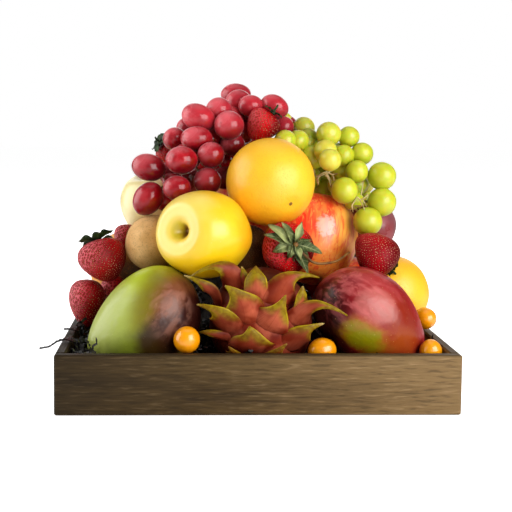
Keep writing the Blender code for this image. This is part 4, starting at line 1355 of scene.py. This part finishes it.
def dragon_finish(name, is_scale):
    """Salmon-brown waxy skin, with painted shade at both sides and low down. A scale turns olive towards
    its tip, and its edges are yellower. Between the scales, painted shade darkens the body near the top."""
    made, tree, shader = new_finish(name, 0.45, Specular_IOR_Level=0.15)
    place = place_of(tree)
    cloud = noise(tree, place, 45.0, 4.0)
    fine = noise(tree, place, 260.0, 3.0)
    colour = mixed(tree, spread(tree, cloud, 0.35, 0.65), shade(140, 44, 18), shade(104, 24, 8))
    flesh = spread(tree, noise(tree, place, 62.0, 2.0, 6.0), 0.44, 0.62, 0.0, 0.8)
    colour = mixed(tree, flesh, colour, shade(200, 100, 70))
    height = part_of(tree, place, "Z")
    # Painted shade on both sides, away from the middle of the fruit.
    aside = calc(tree, "SUBTRACT", part_of(tree, place, "X"), DRAGON_MIDDLE.x * MM)
    sides = spread(tree, calc(tree, "ABSOLUTE", aside), 0.012, 0.04, 0.0, 0.72)
    colour = mixed(tree, sides, colour, shade(84, 24, 8))
    if is_scale:
        along, across, tint = (read(tree, label, "Fac") for label in ("along", "across", "seed"))
        veins = noise(tree, calc(tree, "MULTIPLY", across, 6.0), 2.5, 4.0)
        far = calc(tree, "ADD", along, calc(tree, "MULTIPLY", calc(tree, "SUBTRACT", cloud, 0.5), 0.5))
        beside = calc(tree, "ABSOLUTE", across)
        colour = mixed(tree, spread(tree, beside, 0.8, 0.1, 0.0, 0.3), colour, shade(196, 92, 60))
        colour = mixed(tree, spread(tree, veins, 0.45, 0.75, 0.0, 0.5), colour, shade(120, 28, 10))
        olive = mixed(tree, spread(tree, fine, 0.35, 0.65), shade(140, 120, 6), shade(112, 84, 3))
        reach = calc(tree, "ADD", far, calc(tree, "MULTIPLY", beside, 0.30))
        colour = mixed(tree, spread(tree, reach, 0.48, 0.82, 0.0, 0.95), colour, olive)
        edge = spread(tree, beside, 0.84, 1.0, 0.0, 0.85)
        edge = calc(tree, "MULTIPLY", edge, spread(tree, far, 0.25, 0.6))
        colour = mixed(tree, edge, colour, shade(182, 156, 22))
        dry = calc(tree, "ADD", far, calc(tree, "MULTIPLY", tint, 0.14))
        colour = mixed(tree, spread(tree, dry, 1.0, 1.14, 0.0, 0.7), colour, shade(196, 172, 110))
    else:
        # Painted shade in the gaps between the scales, near the top.
        colour = mixed(tree, spread(tree, height, 0.078, 0.1, 0.0, 0.9), colour, shade(52, 14, 6))
    # Painted shade low down, where the front board shades the fruit.
    colour = mixed(tree, spread(tree, height, 0.075, 0.035, 0.0, 0.8), colour, shade(92, 20, 8))
    tree.links.new(colour, shader.inputs["Base Color"])
    relief(tree, shader, calc(tree, "ADD", fine, cloud), 0.0004)
    return made


print("the body and its scales share their flesh colours")

# %% Growing the scales


def on_dragon(x, z):
    """The point of the body's skin that faces the front here, a little inside it."""
    (cx, cy, cz), (a, b, c) = DRAGON_MIDDLE, DRAGON_HALF
    left = max(0.05, 1 - ((x - cx) / a) ** 2 - ((z - cz) / c) ** 2)
    return Vector((x, cy - b * math.sqrt(left) + ROOT_SUNK, z))


def scale_loft(place, bend, tip, halves, number):
    """One scale, from its root in the body to its tip."""
    root, bend, tip = on_dragon(*place), Vector(bend), Vector(tip)
    steps = np.linspace(0, 1, SCALE_STEPS)
    path = [root * (1 - t) ** 2 + bend * 2 * t * (1 - t) + tip * t * t for t in steps]
    widths = [spot.x for spot in smooth_path([(half, 0, 0) for half in (*halves, 0.5)], SCALE_STEPS)]
    depths = [1.7 - 1.3 * t for t in steps]
    front = (root - DRAGON_MIDDLE).normalized() + Vector((0, -1, 0))
    return loft(path, widths, depths, front, SCALE_SIDES, 0.30, 0.14, number)


body = grown("dragon_fruit_body", "dragon", np.array(DRAGON_MIDDLE) * MM, np.array(DRAGON_HALF) * MM,
             np.eye(3), "dragon", dragon_finish("dragon_body", False), 0.02)
scales = gathered("dragon_fruit_scales", [scale_loft(*row, number) for number, row in enumerate(SCALES)],
                  dragon_finish("dragon_scale", True))
settle(joined("dragon_fruit_skin", [body, scales]), "dragon_fruit", "dragon_fruit")
print("dragon fruit with", len(SCALES), "scales")

# %% [markdown]
# ## Grapes
#
# A bunch has a branched stalk with grapes on all sides of it. Strewing grapes by chance would lose
# the outline that everyone sees first, so the long tables give the place of each grape in front, in
# millimetres: its centre, then one radius or three half sizes, and for some a turn in degrees. The
# short tables are the inner grapes, which lie along the stalk and hide it.

# %% The places of the grapes
RED_GRAPES = [
    (-91.2, -35, 188.6, 15.6, 13.5, 12.4, 15),
    (-91.4, -43.2, 161.1, 16, 13.4, 12.9, -58),
    (-65.5, -60, 171.8, 12.4, 11.8, 11.1),
    (-61.6, -48, 195.6, 14.4, 13.5, 12.6),
    (-48.1, -31.3, 214.4, 14.7, 13.1, 11.5),
    (-46.3, -21.8, 233.7, 16.2, 14, 12.4, 25),
    (-35.4, -42.9, 200.4, 12.2, 12, 11.8),
    (-38.5, -45, 177.2, 12.6, 12.4, 12.2),
    (-19, -28.7, 226.7, 13.8, 13.6, 13.3),
    (-27.4, -9, 241, 12.2, 12, 11.8),
    (-8.9, 41.8, 257, 14.9, 12.9, 10.9),
    (-7.5, 20.9, 249.8, 12.6, 11.9, 11.2),
    (3.1, 3.5, 245.1, 11.9, 11.2, 10.5),
    (25.4, 4, 245, 13.8, 12, 10.8, 28),
    (34.4, 4, 225.7, 9.6, 9.6, 10.2),
    (39.5, 37.3, 226.3, 11.9, 11.6, 11.4),
    (-15, -16.2, 209.5, 11.7, 11.2, 10.7),
    (-4.8, 8, 220, 12, 11.5, 11),
    (-67.9, -10, 213.9, 11.3, 11, 10.8),
    (-72.2, -15, 182.7, 11.2, 11, 10.7),
    (-75.2, -27, 158.7, 11.5, 11.1, 10.6),
    (-21.5, -15, 178.4, 11.2, 11, 10.7),
    (-32.4, 62, 187.1, 12.5, 12, 11.5),
    (-54.3, 38, 223.3, 13, 12, 12),
    (-39.5, 20.5, 191.5, 13, 12, 12),
    (-24.6, 34, 204.8, 13, 12, 12),
    (12.9, 60, 210.1, 13, 12, 12),
    (6.8, 48, 230.7, 13, 12, 12),
    (-20.4, 6, 192.9, 13, 12, 12),
]
RED_MIDDLE = [(-71.5, -24, 175.8, 10), (-56.9, -16, 197.6, 17), (-36.4, -4, 215.4, 19),
              (-14.9, 14, 231.4, 17), (6.8, 22, 235.5, 13), (22.5, 28, 235.6, 10),
              (-28.5, 26, 211.7, 16), (-16.7, 44, 207.9, 14)]
GREEN_GRAPES = [
    (55.2, 20.4, 225, 10.7),
    (74.1, -12.9, 219.5, 11.5),
    (93.4, -10, 217.1, 9.9),
    (104.8, -16, 201.6, 10.5),
    (87.1, -19.6, 200, 10),
    (69.6, -24.8, 204.1, 10.6),
    (71.2, -42, 196.5, 10.2),
    (58.5, -9.7, 197.1, 11.8),
    (46.1, -10.3, 212.8, 10.3),
    (57.2, 4.9, 214.2, 10.5),
    (32.7, -22.9, 213, 10.2),
    (97.6, -30.9, 185.8, 10.4),
    (88.3, -8.7, 185.5, 10.4),
    (120.7, -30, 181.8, 13),
    (120.1, -35, 158.4, 13.1),
    (84.5, -42, 169.3, 12.1),
    (105.5, -45, 141.6, 13),
    (78.1, 20, 165.8, 11.1),
    (37.9, 18, 234.2, 5),
    (46.8, 54, 196.5, 11),
    (64.7, 36, 190.6, 11),
    (88.8, 24, 178.8, 11),
    (81, 50, 170.9, 11),
    (56.4, 52, 217.3, 11),
    (80.5, 22, 200.5, 11),
    (61, 14, 177.6, 11),
    (86.9, 3, 171.8, 10.5),
    (76, 28, 179, 9.5),
    (68, 26, 166.5, 9),
    (112, 4, 172.5, 9),
    (112, 8, 158.5, 8.5),
]
GREEN_MIDDLE = [(56.5, 2, 210.2, 12), (70.5, -6, 204.3, 14), (84.5, -4, 200.5, 12),
                (98.6, -16, 186.7, 11), (100.9, -18, 170.8, 10), (66.6, 16, 196.5, 13),
                (70.7, 34, 190.6, 12), (95.2, -30, 158.8, 8)]
print(len(RED_GRAPES), "red and", len(GREEN_GRAPES), "green grapes")

# %% [markdown]
# ## Growing the bunches
#
# Red grapes are ovals of wine red, with painted shade low down and painted light higher up, and a
# pale film on the side that faces up and left that is partly wax bloom and partly a painted
# reflection. Green ones are rounder, and the light passes through them, so their shader lets some of
# it scatter under the skin. The backs of the bunches are filled by rule: round each inner grape a
# spiral of directions is tried, and a grape is hung wherever there is room. A twig joins each grape
# to the stalk, and the thin dry twiglets of the green bunch are placed one by one, because they show.

# %% Growing the bunches


def red_grape_skin():
    """Deep crimson, with painted shade low down and painted light higher up. Its pale film on the
    side that faces up and left is partly wax and partly a painted reflection.
    """
    made, tree, shader = new_finish("red_grape_skin", 0.24, Specular_IOR_Level=0.4,
                                    Sheen_Weight=0.12, Sheen_Roughness=0.35)
    own, seed = read(tree, "own"), read(tree, "seed", "Fac")
    wander = effect(tree, "mottle", "Mask", Place=own, Seed=seed, Scale=60.0)
    ripe = spread(tree, calc(tree, "FRACT", calc(tree, "MULTIPLY", seed, 5.7)), 0.2, 1.0)
    colour = mixed(tree, wander, shade(184, 8, 24), shade(136, 4, 16))
    colour = mixed(tree, calc(tree, "MULTIPLY", ripe, 0.6), colour, shade(84, 10, 22))
    # Painted shade on the low side.
    colour = painted(tree, colour, [((0.5, -0.1, -0.85), 0.1, 0.9, 0.7, shade(62, 2, 10))])
    wax = effect(tree, "dusting", "Mask", Place=own, Seed=seed, Patches=64.0, Cover=0.55)
    # The pale film: partly wax bloom, partly a painted reflection of the pale wall on the left, stronger
    # higher up.
    side = spread(tree, towards(tree, (-0.75, -0.3, 0.6)), 0.0, 1.0)
    height = part_of(tree, place_of(tree), "Z")
    side = calc(tree, "MULTIPLY", side, spread(tree, height, 0.16, 0.235, 0.42, 1.1))
    # Painted light: the grapes higher up are lighter.
    colour = mixed(tree, spread(tree, height, 0.205, 0.245, 0.0, 0.4), colour, shade(214, 66, 78))
    film = calc(tree, "MULTIPLY", side, calc(tree, "ADD", calc(tree, "MULTIPLY", wax, 0.62), 0.16))
    colour = mixed(tree, film, colour, shade(230, 100, 108))
    tree.links.new(colour, shader.inputs["Base Color"])
    tree.links.new(spread(tree, film, 0, 1, 0.17, 0.40), shader.inputs["Roughness"])
    relief(tree, shader, wax, 0.00004)
    return made


def green_grape_skin():
    """Yellow-green that glows where light comes through, with painted shade on the side away from
    the light, riper yellow on some grapes, and pale dots.
    """
    made, tree, shader = new_finish("green_grape_skin", 0.32, Coat_Weight=0.15, Coat_Roughness=0.3,
                                    Subsurface_Weight=0.4, Subsurface_Scale=0.004)
    own, seed = read(tree, "own"), read(tree, "seed", "Fac")
    wander = effect(tree, "mottle", "Mask", Place=own, Seed=seed, Scale=80.0)
    colour = mixed(tree, wander, shade(206, 206, 52), shade(188, 194, 34))
    shaded = spread(tree, towards(tree, (0.35, -0.75, 0.45)), 0.75, -0.1, 0.0, 0.45)
    colour = mixed(tree, shaded, colour, shade(142, 154, 18))
    ripe = spread(tree, calc(tree, "FRACT", calc(tree, "MULTIPLY", seed, 7.3)), 0.5, 1.0, 0.0, 0.5)
    colour = mixed(tree, ripe, colour, shade(230, 214, 92))
    dots = effect(tree, "speckle", "Mask", Place=own, Dots=700.0, Size=0.14, Share=0.4)
    colour = mixed(tree, calc(tree, "MULTIPLY", dots, 0.25), colour, shade(246, 240, 170))
    tree.links.new(colour, shader.inputs["Base Color"])
    relief(tree, shader, calc(tree, "ADD", wander, dots), 0.00004)
    return made


print("red grapes are waxy, green ones let light in")

# %% Hanging the grapes


def grapes_behind(name, grapes, middles, size):
    """More grapes over the back of a bunch's middle, wherever there is room."""
    draw = random.Random(name)
    placed = [(Vector(row[:3]), sum(row[3:6]) / len(row[3:6])) for row in grapes]
    extra = []
    for x, y, z, radius in middles:
        for direction in spiral(18):
            spot = Vector((x, y, z)) + Vector(direction) * max(radius * 0.92 - size * 0.7, 0)
            room = all((spot - other).length > 0.8 * (size + reach) for other, reach in placed)
            if room and direction[1] > -0.1:
                half = size * draw.uniform(0.93, 1.05)
                placed.append((spot, half))
                extra.append((*spot, half * 1.07, half, half * 0.97))
    return extra


def bunch(name, grapes, middles, finish, size):
    """A bunch: its grapes, the inner grapes along its middle, and a twig from there to each grape."""
    lumps = [(Vector(row[:3]), row[3]) for row in middles]
    made, stems = [], []
    extra = grapes_behind(name, grapes, middles, size)
    for number, (x, y, z, *half) in enumerate([*grapes, *extra]):
        turn = np.array(Matrix.Rotation(math.radians(half.pop() if len(half) > 3 else 0), 3, "Y"))
        half = np.array(half if len(half) == 3 else half * 3)
        centre = Vector((x, y, z))
        lump = min(lumps, key=lambda row: (row[0] - centre).length - row[1])[0]
        to_stalk = (lump - centre).normalized()
        made.append(grown("grape", "grape", np.array(centre) * MM, half * MM, turn,
                          f"{name}{number}", finish))
        stems.append(rod([lump, centre + to_stalk * half.min() * 0.9], 1.5, 1.1, 5))
    for index, (centre, radius) in enumerate(lumps):
        made.append(grown("grape", "grape", np.array(centre) * MM, np.full(3, radius * 0.8) * MM,
                          np.eye(3), f"{name}middle{index}", finish))
        if index:
            near = min((row[0] for row in lumps[:index]), key=lambda spot: (spot - centre).length)
            stems.append(rod([near, centre], 2.2, 2.0, 5))
    settle(joined(name + "_skin", made), name[:-1], name)
    settle(gathered(name + "_twigs", stems, twig_brown), name[:-1])
    print(name, "has", len(grapes), "grapes in front and", len(extra), "more behind")


print("a bunch is made of grapes, inner grapes and twigs")

# %% The two bunches
twig_brown = twig_finish("grape_twig", shade(116, 96, 30), shade(84, 48, 18))
bunch("red_grapes", RED_GRAPES, RED_MIDDLE, red_grape_skin(), 11.0)
bunch("green_grapes", GREEN_GRAPES, GREEN_MIDDLE, green_grape_skin(), 9.6)
# %% Dry twiglets
TWIGLETS = [
    [(61, -12, 189), (60.9, -24, 181.2), (65.7, -26, 183.2), (70.2, -26, 185), (77.3, -22, 182.6),
     (86, -12, 184)],
    [(65.7, -26, 183.2), (62.9, -27, 178.6), (63.7, -25, 173)],
    [(70.2, -26, 185), (73.4, -27, 178.7), (75.8, -24, 171.2), (82, -34, 168)],
    [(70.2, -26, 185), (74.5, -22, 189), (81.2, -14, 192.8)],
    [(103, -40, 146), (98.2, -32, 152.7), (100.4, -34, 162), (102.2, -33, 169.2), (104, -30, 178)],
    [(100.4, -34, 162), (95, -36, 158.5), (94, -37, 154), (97.5, -36, 150.3)],
    [(100.4, -34, 162), (103.9, -35, 158.4), (106.1, -36, 154)],
    [(96.3, -41, 163.4), (98.7, -43, 160.8), (100.9, -46, 155.7), (101.7, -52, 150.9)],
    [(98.7, -43, 160.8), (102.1, -44, 162.7), (106.4, -40, 166.1)],
    [(94.8, -40, 155.2), (98.8, -43, 155.4), (100.9, -46, 155.7)],
    [(93.1, -40, 149.7), (91.9, -41, 155.2), (93.9, -40, 158.8), (96.3, -41, 163.4)],
    [(63.6, -22, 174.7), (62.1, -26, 179.5), (69.2, -27, 183.2), (77.5, -26, 186.9)],
    [(70.1, -27, 182.3), (72.8, -28, 177.8), (74.7, -28, 171.4)],
    [(72.8, -27, 184.2), (76.4, -28, 181.5), (77.1, -30, 177)],
]
twig_light = twig_finish("light_twig", shade(212, 192, 136), shade(150, 118, 66))
twiglets = [rod(spots, 0.65, 0.45, 16) for spots in TWIGLETS]
settle(gathered("green_grape_twiglets", twiglets, twig_light), "green_grape")
print(len(TWIGLETS), "twiglets on the green bunch")

# %% [markdown]
# ## Paper shred
#
# The fruit lies on crinkled black paper shred. A heap of strips could be dropped with a physics
# simulation, but the strips that nobody sees would cost the most. So the frame's bed is copied as a
# dark core, and Geometry Nodes strews strips folded like an accordion over it, in three lengths. The
# strands that show at the corners and over the left board are listed one by one, in millimetres, and a
# tuft of them stands in a gap between the fruits at the right.

# %% Paper shred
STRANDS = [
    [(-146, -128, 30), (-143, -110, 44), (-148, -92, 33)],
    [(-137, -144, 30), (-145, -134, 44), (-149, -118, 34)],
    [(-148, -145, 32), (-141, -132, 45), (-139, -118, 32)],
    [(-150, -100, 30), (-146, -84, 45), (-141, -74, 31)],
    [(-120, -148, 30), (-135, -149, 41), (-149, -140, 31)],
    [(-139, -118, 18), (-148.5, -116, 48.5), (-156, -116, 50.8), (-163, -117, 49), (-169, -118, 45),
     (-177, -118, 43.5)],
    [(-140, -74, 14), (-149, -76, 48.5), (-156, -78, 50.8), (-162, -79, 51)],
    [(-40, -147, 28), (-28, -146, 40), (-16, -148, 28)], [(148, -112, 30), (146, -98, 42), (149, -84, 30)],
    [(-147, 62, 30), (-140, 74, 42), (-148, 84, 30)], [(-146, 146, 30), (-134, 142, 42), (-126, 148, 30)],
    [(146, 146, 30), (138, 149, 43), (126, 146, 30)],
]
TUFT = [
    [(88, 62, 93), (104, 54, 99), (122, 50, 98), (138, 52, 86)],
    [(95, 44, 99), (110, 56, 101), (127, 64, 91)],
    [(92, 54, 95), (108, 47, 103), (128, 58, 95)],
    [(98, 66, 90), (112, 58, 97), (130, 44, 93)],
]
LAYERS = [(34, 2.4, 1.5, 2450.0), (24, 1.9, 1.1, 2750.0), (44, 3.0, 1.8, 1700.0)]
STRAND_STEPS = 22
STRAND_HALF_WIDTH = 1.6
STRIP_HALF_WIDTH = 1.7
PAPER_HALF_DEPTH = 0.12
PAPER_SIDES = 4
INSIDE = 0.1505
LOWEST = 0.008
UPWARDS = Vector((0, 0, 1))


def paper_finish():
    """Black paper with a slight gloss, greyer in fine flecks here and there."""
    made, tree, shader = new_finish("black_paper", 0.34, Specular_IOR_Level=0.3)
    place = place_of(tree)
    fine = noise(tree, place, 700.0, 3.0)
    colour = mixed(tree, spread(tree, fine, 0.45, 0.75), shade(22, 20, 20), shade(46, 43, 42))
    tree.links.new(colour, shader.inputs["Base Color"])
    handled = noise(tree, place, 90.0, 2.0)
    tree.links.new(spread(tree, handled, 0.3, 0.7, 0.26, 0.5), shader.inputs["Roughness"])
    relief(tree, shader, fine, 0.0002)
    return made


print(len(STRANDS), "strands and a tuft of", len(TUFT))

# %% Strips of paper


def paper_loft(path, half_width, flat_side):
    """A flat ribbon of paper along a path, its flat side this way."""
    return loft(path, [half_width] * len(path), [PAPER_HALF_DEPTH] * len(path), flat_side, PAPER_SIDES)


def strip_shape(number, length, fold, height):
    """One folded strip, bowed a little. It isn't shown itself."""
    draw = random.Random(number)
    count = round(length / fold)
    path = []
    for step in range(count + 1):
        along = (step / count - 0.5) * length
        bow = 5 * (1 - (2 * along / length) ** 2)
        weave = 6 * math.sin(along / length * 2.4 + number)
        path.append(Vector((along, weave, bow + height * (step % 2) + draw.uniform(-0.3, 0.3))))
    points, faces, _, _ = paper_loft(path, STRIP_HALF_WIDTH, UPWARDS)
    return new_piece(f"strip_{number}", [point * MM for point in points], faces, black_paper, smooth=False)


print("strips are", ", ".join(str(length) for length, *_ in LAYERS), "mm long")

# %% Strewing the strips over the bed
black_paper = paper_finish()
core = bpy.data.objects.new("paper_core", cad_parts["paper_bed"].data.copy())
bpy.context.scene.collection.objects.link(core)
core.data.materials.clear()
core.data.materials.append(black_paper)
shred = [core]
for number, (length, fold, height, share) in enumerate(LAYERS):
    strip = strip_shape(number, length, fold, height)
    bpy.context.scene.collection.objects.unlink(strip)
    layer = core.copy()
    layer.data = core.data.copy()
    bpy.context.scene.collection.objects.link(layer)
    fit(layer, STREW, Shape=strip, Per_square_metre=share, Smallest=0.7, Largest=1.15, Lean=0.5,
        Seed=number, Finish=black_paper)
    spots = points_of(layer.data)
    spots[:, :2] = np.clip(spots[:, :2], -INSIDE, INSIDE)
    spots[:, 2] = np.clip(spots[:, 2], LOWEST, None)
    layer.data.vertices.foreach_set("co", spots.astype(np.float32).ravel())
    shred.append(layer)
loose = []
for strands, flat_side in ((STRANDS, UPWARDS), (TUFT, Vector((0, -1, 0.4)))):
    for spots in strands:
        path = smooth_path(spots, STRAND_STEPS)
        bent = [spot + UPWARDS * 0.8 * (step % 2) for step, spot in enumerate(path)]
        loose.append(paper_loft(bent, STRAND_HALF_WIDTH, flat_side))
shred.append(gathered("strands", loose, black_paper, smooth=False))
settle(joined("paper_shred", shred), "black_paper", "paper_bed")

# %% [markdown]
# ## Stems
#
# Apples that show their hollow also show a stem in it. A plain cylinder would look like a nail, so
# the stem is a rod that leans a little and widens towards its end, where it was picked. Its foot is
# sunk into the hollow, and no gap shows round it.

# %% Stems
STEMMED = [("yellow_apple", 0.46, 10), ("striped_apple", 0.77, 14), ("pale_apple", 0.77, 13),
           ("apple_back", 0.77, 13), ("apple_back_top", 0.77, 12), ("apple_side", 0.77, 13)]
fruit_turns = {row[0]: (row[3], row[4]) for row in HARVEST}
for node, bottom, length in STEMMED:
    slot, turns = fruit_turns[node]
    middle, half, turn = measure(node, "apple", turns)
    start = half[2] / MM * bottom - 1.5
    spots = [Vector(middle / MM + turn @ spot) for spot in
             ((0, 0, start), (0.4, 0.2, start + length * 0.5), (1.8, 0.8, start + length))]
    settle(gathered(node + "_stem", [rod(spots, 1.1, 1.5, 8)], stem_brown), slot)
print(len(STEMMED), "stems")

# %% [markdown]
# ## Floor and light
#
# The photo was lit by a soft box to the right of the camera, with a large pale wall to the left, on a
# white sweep. Those are the two strong lights here. Weaker ones from above, from low in front and from
# behind keep the undersides and the far side readable. One bright sky would be simpler, but it would
# wash out the gaps between the fruits. So only the camera sees the surroundings as white, while
# everything else gets only a little of that white.

# %% White surroundings
bpy.context.scene.view_settings.view_transform = "Standard"
world = bpy.data.worlds.new("white")
bpy.context.scene.world = world
world.use_nodes = True
tree = world.node_tree
seen = put(tree, "ShaderNodeLightPath").outputs["Is Camera Ray"]
strength = put(tree, "ShaderNodeMapRange", {"Value": seen, "To Min": 0.10, "To Max": 1.0}).outputs[0]
tree.links.new(strength, tree.nodes["Background"].inputs["Strength"])
tree.nodes["Background"].inputs["Color"].default_value = (1, 1, 1, 1)
print("the surroundings are white for the camera alone")

# %% Five soft lights
HEAP_MIDDLE = Vector((0, -0.02, 0.11))


def soft_box(name, place, size, power):
    """A rectangular light that faces the middle of the heap."""
    light = bpy.data.lights.new(name, "AREA")
    light.shape = "RECTANGLE"
    light.size, light.size_y = size
    light.energy = power
    lamp = bpy.data.objects.new(name, light)
    bpy.context.scene.collection.objects.link(lamp)
    lamp.location = place
    lamp.rotation_euler = (HEAP_MIDDLE - lamp.location).to_track_quat("-Z", "Y").to_euler()


soft_box("key", (0.60, -0.82, 0.46), (0.85, 0.75), 13.0)
soft_box("wall", (-1.10, 0.05, 0.42), (1.1, 1.3), 16.0)
soft_box("top", (0.1, 0.15, 1.6), (1.2, 1.2), 3.0)
soft_box("front", (0.15, -1.1, 0.12), (1.4, 0.4), 1.1)
soft_box("back", (0.1, 1.3, 0.6), (1.6, 0.9), 6.0)
print("lights:", ", ".join(sorted(thing.name for thing in bpy.data.lights)))

# %% The floor
FLOOR_REACH = 9
floor_white, tree, shader = new_finish("floor_white", 0.9)
cloud = noise(tree, place_of(tree), 3.0)
nearly_white = mixed(tree, cloud, (0.93, 0.93, 0.93, 1), (0.95, 0.95, 0.95, 1))
tree.links.new(nearly_white, shader.inputs["Base Color"])
shader.inputs["Emission Color"].default_value = (1, 1, 1, 1)
seen = put(tree, "ShaderNodeLightPath").outputs["Is Camera Ray"]
tree.links.new(calc(tree, "MULTIPLY", seen, 0.9), shader.inputs["Emission Strength"])
corners = [(-FLOOR_REACH, -FLOOR_REACH, 0), (FLOOR_REACH, -FLOOR_REACH, 0),
           (FLOOR_REACH, FLOOR_REACH, 0), (-FLOOR_REACH, FLOOR_REACH, 0)]
ground = new_piece("floor", corners, [(0, 1, 2, 3)], floor_white, smooth=False)
ground.location.z = -0.0005
print("a floor", 2 * FLOOR_REACH, "m wide")
